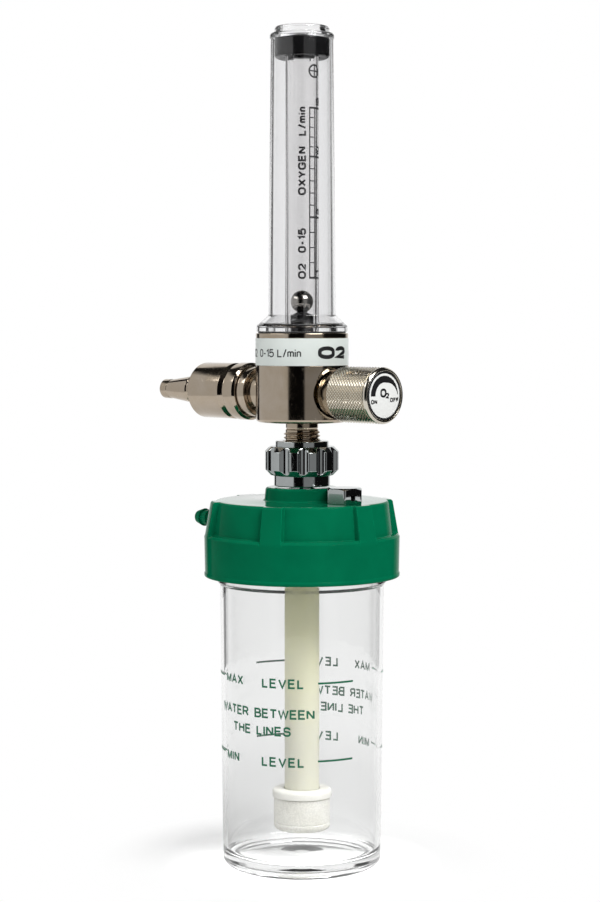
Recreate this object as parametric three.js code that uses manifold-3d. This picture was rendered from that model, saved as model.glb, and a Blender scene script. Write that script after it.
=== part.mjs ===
// Oxygen flowmeter with a bubble humidifier bottle hanging from its outlet.
// Millimetres, +Z up, origin at the centre of the bottle's flat foot.
// The control knob and the flow scale face -Y (the front); the inlet probe points to +Y (the back).

import * as THREE from "three";
import { mergeVertices } from "three/addons/utils/BufferGeometryUtils.js";
import Module from "manifold-3d";

const wasm = await Module();
wasm.setup();

// Clearances
const seatGap = 0.3; // between pieces that touch or are pressed together
const slideGap = 0.4; // between pieces that turn or slide in each other
const washerGap = 0.1; // between a washer or gasket and what it lies on
const overshoot = 1; // how far a cut runs past the face that it opens
const edge = 0.5; // small broken edge

// Bottle
const bottleHeight = 126; // foot to rim
const bottleTaper = 1.1; // how much narrower the foot is than the shoulder
const shoulderInset = 0.5; // neck's face in to the shoulder just under the bead
const bottleWall = 2;
const bottleFloor = 2.6;
const footRounding = 3;
const floorRounding = 2; // inside
const neckTaperLength = 4; // inside, from the neck's bore down to the wall
const beadHeight = 1.8;
const beadBevel = 0.4;
const beadStandOut = 0.9; // past the neck
const neckHeight = 13.8; // bead to rim
const neckRadius = 32.4;
const neckWall = 2.6;
const bottleThreadPitch = 4;
const bottleThreadTurns = 1.5;
const bottleThreadHeight = 1.2; // how far the ridge stands out of the neck
const bottleThreadFromRim = 2.4; // rim down to the upper end of the ridge
const bottleThreadRoot = 1.8; // width of the ridge at its root
const bottleThreadCrest = 0.9;

// Bottle gasket
const gasketThickness = 1.3;
const gasketLap = 0.4; // how far it reaches past the cavity's wall

// Lid
const lidSkirtWall = 3.5;
const lidBoreClearance = 0.8; // past the crest of the bottle's thread
const lidSkirtDepth = 14.8; // shelf that the gasket lies under, down to the skirt's lip
const lidCavityHeight = 12; // shelf up to the roof's underside
const lidShelfWidth = 3.4; // shelf over the bottle's rim, bore to cavity
const lidCavityDraft = 1; // how much narrower the cavity is at its roof
const lidRoof = 2.5;
const lidPanelHeight = 14; // recessed panels, ledge to roof
const lidPanelTopInset = 3.8; // skirt's face in to the panels' top edge
const lidPanelFootInset = 2.6; // skirt's face in to the panels' foot
const lidLugTopInset = 2.5; // skirt's face in to the lugs' top edge
const lidLugWidth = 8.4;
const lidLugCount = 6;
const lidLedgeBevel = 0.8;
const lidLipBevel = 0.5;
const lidDraft = 0.2; // how far the lip stands out past the ledge
const lidTurn = -4; // degrees, how far the whole humidifier is turned from the front
const lidEdgeRounding = 1.2;
const collarRadius = 14.1;
const collarHeight = 5.2;

// Hose nipple, moulded with the lid and opposite the relief valve
const nippleDrop = 8.4; // roof's underside down to the nipple's axis
const nippleLength = 26.1; // skirt's face to the nipple's tip
const nippleStemRadius = 2.7;
const nippleBarbRadius = 3.65;
const nippleBarbLength = 4.2;
const nippleBarbCount = 3;
const nippleBoreRadius = 1.7;
const nippleTipRounding = 0.7;

// Relief valve on the lid
const reliefFromCollar = 7.9; // collar's wall out to the valve's axis
const reliefTurn = 6; // degrees, past the front lug
const reliefAcrossFlats = 13;
const reliefHexHeight = 5.9;
const reliefHexTurn = 17; // degrees
const reliefTopInset = 0.4; // flat's line in to the round top
const reliefChamferSlope = 0.58;
const reliefSpigotRadius = 4.6;
const reliefSpigotLength = 6.5; // below the hex
const reliefChamberRadius = 3.2;
const reliefBoreRadius = 1.6;
const reliefRoof = 1.6;
const reliefFloor = 2; // below the chamber
const reliefVentRadius = 0.9;
const reliefVentHeight = 2.6; // lid's top up to the vent's axis
const poppetRadius = 2.6;
const poppetThickness = 1.4;
const poppetPinRadius = 1;
const poppetPinHeight = 2;
const springWire = 0.5;
const springTurns = 4;

// Coupling nut and the tailpiece that it pulls up
const nutLowerCollarRadius = 10.9;
const nutLowerCollarHeight = 4.3;
const nutLobeRadius = 14.4;
const nutLobeHeight = 11.1;
const nutLobeChamfer = 2;
const nutLobeCount = 12;
const nutFluteRadius = 2.1;
const nutFluteDistance = 14.8; // nut's axis to a flute's axis
const nutTurn = -9.5; // degrees, lid to the nut's flutes
const nutUpperCollarRadius = 10.35;
const nutUpperCollarHeight = 2.1;
const nutCollarBevel = 0.4;
const nutFlange = 4.4; // floor of the nut that catches the tailpiece's shoulder
const tailShaftRadius = 5.2;
const tailShoulderRadius = 6.9;
const tailShoulderHeight = 4.9;
const tailNoseRadius = 3.9;
const tailNoseLength = 4.4;
const tailLowerRadius = 4.5;
const tailBoreRadius = 2.3;
const tailBelowRoof = 13.5; // roof's underside down to the tailpiece's open end
const tailLead = 1; // tapered length at the open end
const tailGrooveWidth = 1.4;
const tailGrooveDepth = 0.7;
const lockNutAcrossFlats = 15;
const lockNutHeight = 4.6;
const lockWasherThickness = 0.8;
const lockWasherRadius = 9;

// Outlet fitting
const outletThreadRadius = 7.145; // 9/16 inch, 18 threads to the inch
const outletThreadPitch = 1.411;
const outletThreadDepth = 0.75;
const outletThreadRoot = 0.86; // share of the pitch that a ridge takes at its root
const outletThreadCrest = 0.16; // share of the pitch that a ridge takes at its crest
const outletThreadRunout = 0.55; // share of the pitch left plain under the neck
const outletThreadLength = 11.5;
const outletNeckRadius = 6.3;
const outletNeckHeight = 3;
const outletBoreRadius = 2.5;
const outletSpigotLength = 5;

// Valve body
const bodyRadius = 17.9;
const bodyHeight = 34.4;
const bodyRounding = 1.5;
const exposedThread = 4.2; // nut's top up to the fitting's neck
const valveAxisHeight = 11.2; // body's bottom up to the inlet and valve axis
const labelBottomHeight = 22; // body's bottom up to the label
const labelHeight = 10.4;
const labelThickness = 0.25;
const ductRadius = 1.5;
const ductSides = 8;
const ductInset = 1; // how far a duct starts past the floor of a well
const valveDuctRise = 3; // valve axis up to where the second duct ends
const valveDuctStep = 2; // past the valve bore's end

// Knob and needle valve; distances along the valve axis are from the body's axis
const knobRadius = 10.65;
const knobBackRadius = 8;
const knobBackDistance = 16;
const knobTaperLength = 8;
const knobLength = 27.3; // back face to front rim
const knobChamfer = 0.7;
const knobFaceRadius = 9.1;
const knobFaceThickness = 0.8;
const knobFacePlay = 0.3; // between the face and its recess
const knobGlueGap = 0.4; // under the face
const knobTaperEdge = 0.2;
const knobBorePlay = 0.2; // between the stem or screw and its hole
const stemRadius = 2;
const stemEndDepth = 8; // knob's front rim back to the stem's end
const needleTipInset = 0.8; // orifice's wall in to the needle's tip
const needleRootInset = 0.1; // orifice's wall in to the needle's root
const stemLandWidth = 0.7;
const stemLandGap = 1.6; // groove between the lands that holds the ring
const stemLandPlay = 0.2;
const stemLandStart = 1; // needle's shoulder to the first land
const knobWellRadius = 9.4;
const knobWellDistance = 13;
const valveBoreRadius = 5.2;
const valveBoreEnd = 4.5;
const orificeRadius = 1.2;
const needleSeatThickness = 2.5;
const bonnetHexRadius = 6.4;
const bonnetHexHeight = 2.5;
const stemRingRadius = 3;
const setScrewRadius = 1.5;
const setScrewLength = 5;
const setScrewPlace = 3; // past the knob's taper
const setScrewSocket = 1.65; // across flats
const setScrewSocketDepth = 1.5;

// Flow tube, its ball and its clear cover
const coverFlangeInset = 0.35; // body's face in to the flange's rim
const coverFlangeThickness = 2.2;
const coverConeHeight = 4.1;
const coverFootInset = 4.85; // body's face in to the foot of the cover's wall
const coverTaper = 1.05; // how much narrower the wall is at its top
const coverWall = 1.65; // at its foot
const coverWallTop = 1.05;
const coverHeight = 116.6; // flange's underside to the top
const coverBeadStandOut = 0.35;
const coverBeadHeight = 1.7;
const coverBossInset = 1.45; // wall's top in to the boss
const coverBeadBevel = 0.4;
const coverBossHeight = 3.1;
const coverBossRounding = 1.2;
const coverDimpleInset = 3.2; // boss's wall in to the dimple's rim
const coverDimpleDepth = 0.7;
const coverDimpleSlope = 1;
const coverRoof = 3.8;
const coverSpigotDepth = 6;
const coverSpigotWall = 2.7;
const coverGasketThickness = 0.4;
const coverGasketInset = 0.6; // flange's rim in to the gasket's
const ballRadius = 4.365; // 11/32 inch ball
const ballTubeOuterRadius = 6.5;
const ballTubeBoreFoot = 5.1;
const ballTubeBoreTop = 5.6;
const tubeNotchWidth = 2.4;
const tubeNotchDepth = 4.2;
const topPlugHeight = 7.5;
const topPlugGroove = 2.6; // depth of the groove that holds the ball tube
const topPlugBossDrop = 0.8;
const topPlugBossLead = 0.6; // height of the taper at the boss's end
const topPlugBossInset = 0.8; // ball tube's bore in to the boss's end
const topPlugBevel = 0.7;
const ballSeatRadius = 4.5;
const ballSeatRimRadius = 1.9;
const ballSeatConeHeight = 1.4;
const ballSeatStandHeight = 6.9; // body's top up to where the cone starts
const seatFlangeRadius = 8;
const seatFlangeThickness = 1.8;
const seatSpigotRadius = 3.4;
const seatSpigotLength = 4;
const tubeRingHeight = 1.4;

// Inlet adaptor, sleeve and probe; distances along the inlet axis are from the body's axis
const inletSpigotRadius = 6;
const inletSpigotLength = 6;
const inletWellDistance = 15.5;
const inletNeckRadius = 8;
const inletNeckEnd = 22.4;
const inletCoreRadius = 7.4;
const inletCoreEnd = 40;
const inletBoreRadius = 2.5;
const lockRingRadius = 9.9;
const lockRingWidth = 4.2;
const sleeveRadius = 11.1;
const sleeveCollarRadius = 11.35;
const sleeveCollarWidth = 5.7;
const sleeveCollarBevel = 0.9;
const sleeveGrooveWidth = 3;
const sleeveGrooveDepth = 0.9;
const sleeveGrooveStart = 0.6; // length of the slope down into the groove
const sleeveGrooveEnd = 1; // length of the slope up out of it
const sleeveLength = 31;
const sleeveShoulderRadius = 10.2; // where the sleeve's rounded shoulder becomes a cone
const sleeveShoulderLength = 1;
const sleeveConeLength = 3.6;
const sleeveMouthRadius = 6.1;
const sleeveLip = 12; // solid length behind the mouth that traps the probe's flange
const probeFlangeThickness = 4.4;
const probeShaftRadius = 5.5;
const probeConeStart = 61.5;
const probeNotchDepth = 0.5; // round notch just before the cone
const probeNotchBack = 1.4; // cone's start back to the notch's near edge
const probeNotchMiddle = 0.9; // cone's start back to the notch's deepest point
const probeTipStep = 0.15; // small step where the tip starts
const probeTipStepLength = 0.2;
const probeTipBevel = 0.9;
const probeTipRadius = 3.95;
const probeTipLength = 4.6;
const probeReach = 79.1;
const probeBoreRadius = 1.7;
const filterRadius = 5.5;
const filterThickness = 2.4;

// Dip tube and diffuser
const dipTubeRadius = 6.75;
const dipTubeWall = 1.9;
const diffuserRadius = 10.9;
const diffuserHeight = 12.7;
const diffuserRounding = 1.5;
const diffuserBore = 2;
const diffuserFloor = 4;
const diffuserFloorGap = 13.9; // foot of the bottle up to the diffuser
const diffuserCapRadius = 11.5;
const diffuserCapHeight = 3.4;
const diffuserCapRounding = 1.4;
const diffuserBossHeight = 6;

// Sides of the round pieces
const coarse = 28;
const medium = 20;
const fine = 12;
const ventSides = 10;
const springSides = 8;

// Radii and heights that follow from the sizes, from the foot of the bottle upwards
const shoulderRadius = neckRadius - shoulderInset;
const footRadius = shoulderRadius - bottleTaper;
const beadTop = bottleHeight - neckHeight;
const beadBottom = beadTop - beadHeight;
const shelfHeight = bottleHeight + gasketThickness + 2 * washerGap;
const skirtBottom = shelfHeight - lidSkirtDepth;
const roofUnderside = shelfHeight + lidCavityHeight;
const lidTop = roofUnderside + lidRoof;
const ledgeHeight = lidTop - lidPanelHeight;
const collarTop = lidTop + collarHeight;
const nutBottom = collarTop + slideGap;
const nutLobesBottom = nutBottom + nutLowerCollarHeight;
const nutLobesTop = nutLobesBottom + nutLobeHeight;
const nutTop = nutLobesTop + nutUpperCollarHeight;
const outletNeckBottom = nutTop + exposedThread;
const bodyBottom = outletNeckBottom + outletNeckHeight;
const bodyTop = bodyBottom + bodyHeight;
const valveAxis = bodyBottom + valveAxisHeight;
const outletBottom = outletNeckBottom - outletThreadLength;
const shoulderBottom = nutBottom + nutFlange + seatGap;
const shoulderTop = Math.min(shoulderBottom + tailShoulderHeight, outletBottom - seatGap);
const tailNoseTop = shoulderTop + tailNoseLength;
const labelBottom = bodyBottom + labelBottomHeight;
const labelTop = labelBottom + labelHeight;
const coverBottom = bodyTop + coverGasketThickness + washerGap;
const coverTop = coverBottom + coverHeight;
const coverBeadTop = coverTop - coverBossHeight;
const coverBeadBottom = coverBeadTop - coverBeadHeight;
const coverRoofUnderside = coverTop - coverRoof;
const coverConeTop = coverBottom + coverFlangeThickness + coverConeHeight;
const coverFlangeRadius = bodyRadius - coverFlangeInset;
const coverFootRadius = bodyRadius - coverFootInset;
const coverTopRadius = coverFootRadius - coverTaper;
const coverBossRadius = coverTopRadius - coverBossInset;
const coverSpigotRadius = coverFootRadius - coverWall + coverSpigotWall;
const bodyWellFloor = bodyTop - coverSpigotDepth;
const seatPocketFloor = bodyWellFloor - seatFlangeThickness - tubeRingHeight - 2 * seatGap;
const seatFlangeTop = seatPocketFloor + seatGap + seatFlangeThickness;
const ballTubeBottom = seatFlangeTop + seatGap;
const topPlugTop = coverRoofUnderside - seatGap;
const topPlugBottom = topPlugTop - topPlugHeight;
const ballSeatShoulder = bodyTop + ballSeatStandHeight;
const ballSeatRim = ballSeatShoulder + ballSeatConeHeight;
const ballRest = ballSeatRim + washerGap + Math.sqrt(ballRadius ** 2 - ballSeatRimRadius ** 2);
const coverInnerTop = coverTopRadius - coverWallTop;
const lidBoreRadius = neckRadius + bottleThreadHeight + lidBoreClearance;
const lidSkirtRadius = lidBoreRadius + lidSkirtWall;
const lidCavityRadius = lidBoreRadius - lidShelfWidth;
const lidPanelTopRadius = lidSkirtRadius - lidPanelTopInset;
const lidPanelFootRadius = lidSkirtRadius - lidPanelFootInset;
const lidLugTopRadius = lidSkirtRadius - lidLugTopInset;
const nippleReach = lidSkirtRadius + nippleLength;
const reliefRadiusOut = collarRadius + reliefFromCollar;
const nippleAxis = roofUnderside - nippleDrop;
const dipTubeTop = roofUnderside - lockWasherThickness - lockNutHeight - 2 * washerGap - seatGap;
const diffuserTop = diffuserFloorGap + diffuserHeight;
const dipTubeBottom = diffuserTop + seatGap;
const dipTubeBore = dipTubeRadius - dipTubeWall;
const knobFront = knobBackDistance + knobLength;
const knobTaperEnd = knobBackDistance + knobTaperLength;
const needleSeatFront = valveBoreEnd + washerGap + needleSeatThickness;
const bonnetBack = needleSeatFront + seatGap;
const firstLand = bonnetBack + stemLandStart;
const secondLand = firstLand + stemLandWidth + stemLandGap;
const bonnetFront = knobBackDistance - seatGap;
const bonnetHexBack = bonnetFront - bonnetHexHeight;
const lockRingStart = inletNeckEnd + washerGap;
const sleeveStart = lockRingStart + lockRingWidth + seatGap;
const sleeveEnd = sleeveStart + sleeveLength;
const sleeveLipStart = sleeveEnd - sleeveLip;
const probeFlangeStart = sleeveLipStart - seatGap - probeFlangeThickness;
const coverSpigotBottom = bodyWellFloor + coverGasketThickness + seatGap + 2 * washerGap;
const reliefBottom = lidTop + washerGap;
const reliefSeat = reliefBottom - reliefSpigotLength + reliefFloor;
const reliefRoofUnderside = reliefBottom + reliefHexHeight - reliefRoof;
const tailGrooveBottom = shoulderTop + (tailNoseLength - tailGrooveWidth) / 2;

// Solid from a closed geometry, with its shared vertices merged
function solidOf(geometry) {
  const bare = (geometry.index ? geometry.toNonIndexed() : geometry).clone();
  bare.deleteAttribute("normal");
  bare.deleteAttribute("uv");
  const merged = mergeVertices(bare, 1e-4);
  return new wasm.Manifold(
    new wasm.Mesh({
      numProp: 3,
      vertProperties: new Float32Array(merged.attributes.position.array),
      triVerts: new Uint32Array(merged.index.array),
    }),
  );
}

function geometryOf(solid) {
  const mesh = solid.getMesh();
  const positions = new Float32Array(mesh.numVert * 3);
  for (let i = 0; i < mesh.numVert; i++) {
    const start = i * mesh.numProp;
    positions.set(mesh.vertProperties.subarray(start, start + 3), i * 3);
  }
  const indexed = new THREE.BufferGeometry();
  indexed.setAttribute("position", new THREE.BufferAttribute(positions, 3));
  indexed.setIndex(new THREE.BufferAttribute(new Uint32Array(mesh.triVerts), 1));
  const flat = indexed.toNonIndexed();
  flat.computeVertexNormals();
  return flat;
}

// Solid turned about Z from [radius, height] points that start and end on the axis or close on themselves
function turned(points, sides = medium) {
  const profile = points.map(([radius, height]) => new THREE.Vector2(radius, height));
  if (THREE.ShapeUtils.area(profile) < 0) profile.reverse();
  const geometry = new THREE.LatheGeometry(profile, sides);
  geometry.rotateX(Math.PI / 2);
  return solidOf(geometry);
}

function rod(radius, bottom, top, sides = medium) {
  return turned([[0, bottom], [radius, bottom], [radius, top], [0, top]], sides);
}

function ring(inner, outer, bottom, top, sides = medium) {
  return turned([[inner, bottom], [outer, bottom], [outer, top], [inner, top], [inner, bottom]], sides);
}

// Ring of round section, such as an O-ring squeezed to a given height
function softRing(inner, outer, bottom, top, sides = medium) {
  const bevel = Math.min(outer - inner, top - bottom) * 0.28;
  return turned([
    [inner, bottom + bevel],
    [inner + bevel, bottom],
    [outer - bevel, bottom],
    [outer, bottom + bevel],
    [outer, top - bevel],
    [outer - bevel, top],
    [inner + bevel, top],
    [inner, top - bevel],
    [inner, bottom + bevel],
  ], sides);
}

// Points of a quarter round from one axis end to the other, in [radius, height]
function quarterRound(centreRadius, centreHeight, width, height, fromDegrees, steps) {
  return Array.from({ length: steps + 1 }, (_, i) => {
    const angle = THREE.MathUtils.degToRad(fromDegrees + (90 * i) / steps);
    return [centreRadius + width * Math.cos(angle), centreHeight + height * Math.sin(angle)];
  });
}

function hexBar(acrossFlats, bottom, top, turnDegrees = 0) {
  return rod(acrossFlats / Math.sqrt(3), bottom, top, 6).rotate([0, 0, turnDegrees]);
}

function block(width, depth, height, centre) {
  return solidOf(new THREE.BoxGeometry(width, depth, height)).translate(centre);
}

// Ridge of a screw thread: a tapered section swept up a helix, closed at both ends
function threadRidge({ root, crest, rootWidth, crestWidth, pitch, turns, start, stepsPerTurn }) {
  const steps = Math.round(turns * stepsPerTurn);
  const section = [
    [root, -rootWidth / 2],
    [crest, -crestWidth / 2],
    [crest, crestWidth / 2],
    [root, rootWidth / 2],
  ];
  if (crest < root) section.reverse();
  const points = [];
  for (let i = 0; i <= steps; i++) {
    const angle = (2 * Math.PI * i) / stepsPerTurn;
    const rise = start + (pitch * i) / stepsPerTurn;
    for (const [radius, height] of section) {
      points.push(radius * Math.cos(angle), radius * Math.sin(angle), rise + height);
    }
  }
  const faces = [0, 1, 2, 0, 2, 3];
  for (let i = 0; i < steps; i++) {
    for (let k = 0; k < 4; k++) {
      const a = 4 * i + k;
      const b = 4 * i + ((k + 1) % 4);
      faces.push(a, a + 4, b, b, a + 4, b + 4);
    }
  }
  const last = 4 * steps;
  faces.push(last, last + 2, last + 1, last, last + 3, last + 2);
  const geometry = new THREE.BufferGeometry();
  geometry.setAttribute("position", new THREE.Float32BufferAttribute(points, 3));
  geometry.setIndex(faces);
  return solidOf(geometry);
}

// Lies a solid made along Z down along the valve axis (to the front) or the inlet axis (to the back)
const alongValve = (solid) => solid.rotate([90, 0, 0]).translate([0, 0, valveAxis]);
const alongInlet = (solid) => solid.rotate([-90, 0, 0]).translate([0, 0, valveAxis]);
const alongNipple = (solid) => solid.rotate([-90, 0, 0]).translate([0, 0, nippleAxis]);

// Straight round duct between two points of the plane x = 0
function duct(fromY, fromZ, toY, toZ) {
  const run = new THREE.Vector3(0, toY - fromY, toZ - fromZ);
  const geometry = new THREE.CylinderGeometry(ductRadius, ductRadius, run.length(), ductSides);
  const turn = new THREE.Quaternion().setFromUnitVectors(new THREE.Vector3(0, 1, 0), run.normalize());
  geometry.applyQuaternion(turn);
  return solidOf(geometry).translate([0, (fromY + toY) / 2, (fromZ + toZ) / 2]);
}

const finishes = {
  nickel: { color: 0xb8ad9f, roughness: 0.22, metalness: 1 },
  chrome: { color: 0xc9cbcd, roughness: 0.12, metalness: 1 },
  brass: { color: 0xb99a56, roughness: 0.3, metalness: 1 },
  steel: { color: 0xa9a6a0, roughness: 0.15, metalness: 1 },
  bronze: { color: 0x8d6f45, roughness: 0.8, metalness: 1 },
  greenPlastic: { color: 0x006a45, roughness: 0.3, metalness: 0 },
  blackRubber: { color: 0x1b1b1c, roughness: 0.6, metalness: 0 },
  clearPlastic: { color: 0xe8eaea, roughness: 0.05, metalness: 0, transparent: true, opacity: 0.3 },
  label: { color: 0xe4e9e6, roughness: 0.45, metalness: 0 },
  tubing: { color: 0xd9d6bf, roughness: 0.5, metalness: 0 },
  whitePlastic: { color: 0xecebe4, roughness: 0.6, metalness: 0 },
};
const materials = {};
for (const [name, finish] of Object.entries(finishes)) {
  materials[name] = new THREE.MeshStandardMaterial({ ...finish, name });
}

function piece(name, solid, material) {
  const mesh = new THREE.Mesh(geometryOf(solid), materials[material]);
  mesh.name = name;
  return mesh;
}

// Clear bottle with a flat foot, a bead under the lid and a threaded neck
function bottle() {
  const innerFoot = footRadius - bottleWall;
  const innerShoulder = shoulderRadius - bottleWall;
  const innerNeck = neckRadius - neckWall;
  const outside = [
    [0, 0],
    ...quarterRound(footRadius - footRounding, footRounding, footRounding, footRounding, -90, 4),
    [shoulderRadius, beadBottom - beadStandOut],
    [neckRadius + beadStandOut, beadBottom],
    [neckRadius + beadStandOut, beadTop - beadBevel],
    [neckRadius + beadStandOut - beadBevel, beadTop],
    [neckRadius, beadTop],
    [neckRadius, bottleHeight],
  ];
  const inside = [
    [innerNeck, bottleHeight],
    [innerNeck, beadBottom],
    [innerShoulder, beadBottom - neckTaperLength],
    ...quarterRound(
      innerFoot - floorRounding, bottleFloor + floorRounding, floorRounding, floorRounding, -90, 3,
    ).reverse(),
    [0, bottleFloor],
  ];
  const ridge = threadRidge({
    root: neckRadius - edge,
    crest: neckRadius + bottleThreadHeight,
    rootWidth: bottleThreadRoot,
    crestWidth: bottleThreadCrest,
    pitch: bottleThreadPitch,
    turns: bottleThreadTurns,
    start: bottleHeight - bottleThreadFromRim - bottleThreadPitch * bottleThreadTurns,
    stepsPerTurn: coarse,
  });
  return turned([...outside, ...inside], coarse).add(ridge);
}

// Flat gasket under the lid's shelf
function bottleGasket() {
  return ring(
    lidCavityRadius - gasketLap,
    lidBoreRadius - seatGap,
    bottleHeight + washerGap,
    bottleHeight + washerGap + gasketThickness,
    coarse,
  );
}

// Screw lid with six grip lugs over recessed panels, and a collar that the tailpiece passes through
function lid() {
  const skirt = turned([
    [0, skirtBottom],
    [lidSkirtRadius + lidDraft - lidLipBevel, skirtBottom],
    [lidSkirtRadius + lidDraft, skirtBottom + lidLipBevel],
    [lidSkirtRadius, ledgeHeight - lidLedgeBevel],
    [lidSkirtRadius - lidLedgeBevel, ledgeHeight],
    [lidPanelFootRadius, ledgeHeight],
    ...quarterRound(
      lidPanelTopRadius - lidEdgeRounding, lidTop - lidEdgeRounding, lidEdgeRounding, lidEdgeRounding, 0, 3,
    ),
    [collarRadius, lidTop],
    ...quarterRound(
      collarRadius - lidEdgeRounding, collarTop - lidEdgeRounding, lidEdgeRounding, lidEdgeRounding, 0, 3,
    ),
    [0, collarTop],
  ], coarse);
  const lugCone = turned([
    [0, ledgeHeight - overshoot],
    [lidSkirtRadius - washerGap, ledgeHeight - overshoot],
    ...quarterRound(
      lidLugTopRadius - lidEdgeRounding, lidTop - lidEdgeRounding, lidEdgeRounding, lidEdgeRounding, 0, 3,
    ),
    [0, lidTop],
  ], coarse);
  const lugLength = lidSkirtRadius - lidCavityRadius + overshoot;
  const lugMiddle = lidCavityRadius + lugLength / 2;
  const lugHeight = lidPanelHeight + overshoot;
  let whole = skirt;
  for (let k = 0; k < lidLugCount; k++) {
    const lug = block(lidLugWidth, lugLength, lugHeight, [0, -lugMiddle, lidTop - lugHeight / 2]);
    whole = whole.add(lugCone.intersect(lug.rotate([0, 0, (360 * k) / lidLugCount])));
  }
  const hollow = turned([
    [0, skirtBottom - overshoot],
    [lidBoreRadius, skirtBottom - overshoot],
    [lidBoreRadius, shelfHeight],
    [lidCavityRadius, shelfHeight],
    [lidCavityRadius - lidCavityDraft, roofUnderside],
    [0, roofUnderside],
  ], coarse);
  const thread = threadRidge({
    root: lidBoreRadius + edge,
    crest: neckRadius + slideGap,
    rootWidth: bottleThreadRoot,
    crestWidth: bottleThreadCrest,
    pitch: bottleThreadPitch,
    turns: bottleThreadTurns,
    start: bottleHeight - bottleThreadFromRim - bottleThreadPitch * (bottleThreadTurns + 0.5),
    stepsPerTurn: coarse,
  });
  const [reliefX, reliefY] = reliefPlace();
  const nippleBoreStart = lidCavityRadius - lidCavityDraft - overshoot;
  const holes = [
    rod(tailLowerRadius + seatGap, roofUnderside - overshoot, collarTop + overshoot),
    rod(reliefSpigotRadius + seatGap, roofUnderside - overshoot, lidTop + overshoot)
      .translate([reliefX, reliefY, 0]),
    alongNipple(rod(nippleBoreRadius, nippleBoreStart, nippleReach + overshoot, fine)),
  ];
  const shell = whole.subtract(hollow).add(alongNipple(hoseNipple())).add(thread);
  return holes.reduce((solid, hole) => solid.subtract(hole), shell);
}

function reliefPlace() {
  const angle = THREE.MathUtils.degToRad(reliefTurn - 90);
  return [reliefRadiusOut * Math.cos(angle), reliefRadiusOut * Math.sin(angle)];
}

// Barbed hose nipple, made along Z from inside the lid's wall to its tip
function hoseNipple() {
  const barbs = [[nippleStemRadius, nippleReach - nippleBarbCount * nippleBarbLength]];
  for (let k = nippleBarbCount; k > 0; k--) {
    const root = nippleReach - k * nippleBarbLength;
    barbs.push([nippleBarbRadius, root]);
    if (k > 1) barbs.push([nippleStemRadius, root + nippleBarbLength]);
  }
  return turned([
    [0, lidCavityRadius + lidEdgeRounding],
    [nippleBarbRadius, lidCavityRadius + lidEdgeRounding],
    [nippleBarbRadius, lidLugTopRadius + 2 * lidEdgeRounding],
    ...barbs,
    [nippleStemRadius, nippleReach - nippleTipRounding],
    [nippleStemRadius - nippleTipRounding, nippleReach],
    [0, nippleReach],
  ], fine);
}

// Hexagon housing of the relief valve, with a vent in one flat and an open chamber above its seat
function reliefHousing() {
  const hexTop = reliefBottom + reliefHexHeight;
  const spigotBottom = reliefBottom - reliefSpigotLength;
  const corner = reliefAcrossFlats / Math.sqrt(3) + washerGap;
  const topRadius = reliefAcrossFlats / 2 - reliefTopInset;
  const chamferCone = turned([
    [0, reliefBottom],
    [corner, reliefBottom],
    [corner, hexTop - (corner - topRadius) * reliefChamferSlope],
    [topRadius, hexTop],
    [0, hexTop],
  ], coarse);
  const vent = rod(reliefVentRadius, 0, reliefAcrossFlats, ventSides)
    .rotate([90, 0, 0])
    .rotate([0, 0, reliefHexTurn - 30])
    .translate([0, 0, reliefBottom + reliefVentHeight]);
  return hexBar(reliefAcrossFlats, reliefBottom, hexTop, reliefHexTurn)
    .intersect(chamferCone)
    .add(rod(reliefSpigotRadius, spigotBottom, reliefBottom + overshoot))
    .subtract(rod(reliefChamberRadius, reliefSeat, reliefRoofUnderside, fine))
    .subtract(rod(reliefBoreRadius, spigotBottom - overshoot, reliefSeat + overshoot, fine))
    .subtract(vent);
}

function reliefPoppet() {
  const bottom = reliefSeat + washerGap;
  const top = bottom + poppetThickness;
  return turned([
    [0, bottom],
    [poppetRadius, bottom],
    [poppetRadius, top],
    [poppetPinRadius, top],
    [poppetPinRadius, top + poppetPinHeight],
    [0, top + poppetPinHeight],
  ], fine);
}

// Coil spring between the poppet and the housing's roof
function reliefSpring() {
  const bottom = reliefSeat + poppetThickness + 2 * washerGap + springWire / 2;
  const top = reliefRoofUnderside - washerGap - springWire / 2;
  const coil = (reliefChamberRadius + poppetPinRadius) / 2 + washerGap;
  return threadRidge({
    root: coil - springWire / 2,
    crest: coil + springWire / 2,
    rootWidth: springWire,
    crestWidth: springWire,
    pitch: (top - bottom) / springTurns,
    turns: springTurns,
    start: bottom,
    stepsPerTurn: springSides,
  });
}

// Tailpiece: nose into the outlet fitting, shoulder caught by the nut, threaded shank through the lid
function tailpiece() {
  const bottom = roofUnderside - tailBelowRoof;
  const grooveRadius = tailNoseRadius - tailGrooveDepth;
  return turned([
    [tailBoreRadius, bottom],
    [tailLowerRadius - edge, bottom],
    [tailLowerRadius, bottom + tailLead],
    [tailLowerRadius, collarTop + washerGap],
    [tailShaftRadius, collarTop + washerGap],
    [tailShaftRadius, shoulderBottom],
    [tailShoulderRadius, shoulderBottom],
    [tailShoulderRadius, shoulderTop],
    [tailNoseRadius, shoulderTop],
    [tailNoseRadius, tailGrooveBottom],
    [grooveRadius, tailGrooveBottom],
    [grooveRadius, tailGrooveBottom + tailGrooveWidth],
    [tailNoseRadius, tailGrooveBottom + tailGrooveWidth],
    [tailNoseRadius, tailNoseTop - edge],
    [tailNoseRadius - edge, tailNoseTop],
    [tailBoreRadius, tailNoseTop],
    [tailBoreRadius, bottom],
  ]);
}

function tailpieceRing() {
  const bottom = tailGrooveBottom + washerGap;
  const top = tailGrooveBottom + tailGrooveWidth - washerGap;
  return softRing(
    tailNoseRadius - tailGrooveDepth + washerGap,
    tailNoseRadius + seatGap - washerGap,
    bottom,
    top,
    fine,
  );
}

function lockWasher() {
  const top = roofUnderside - washerGap;
  return ring(tailLowerRadius + seatGap, lockWasherRadius, top - lockWasherThickness, top);
}

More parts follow.
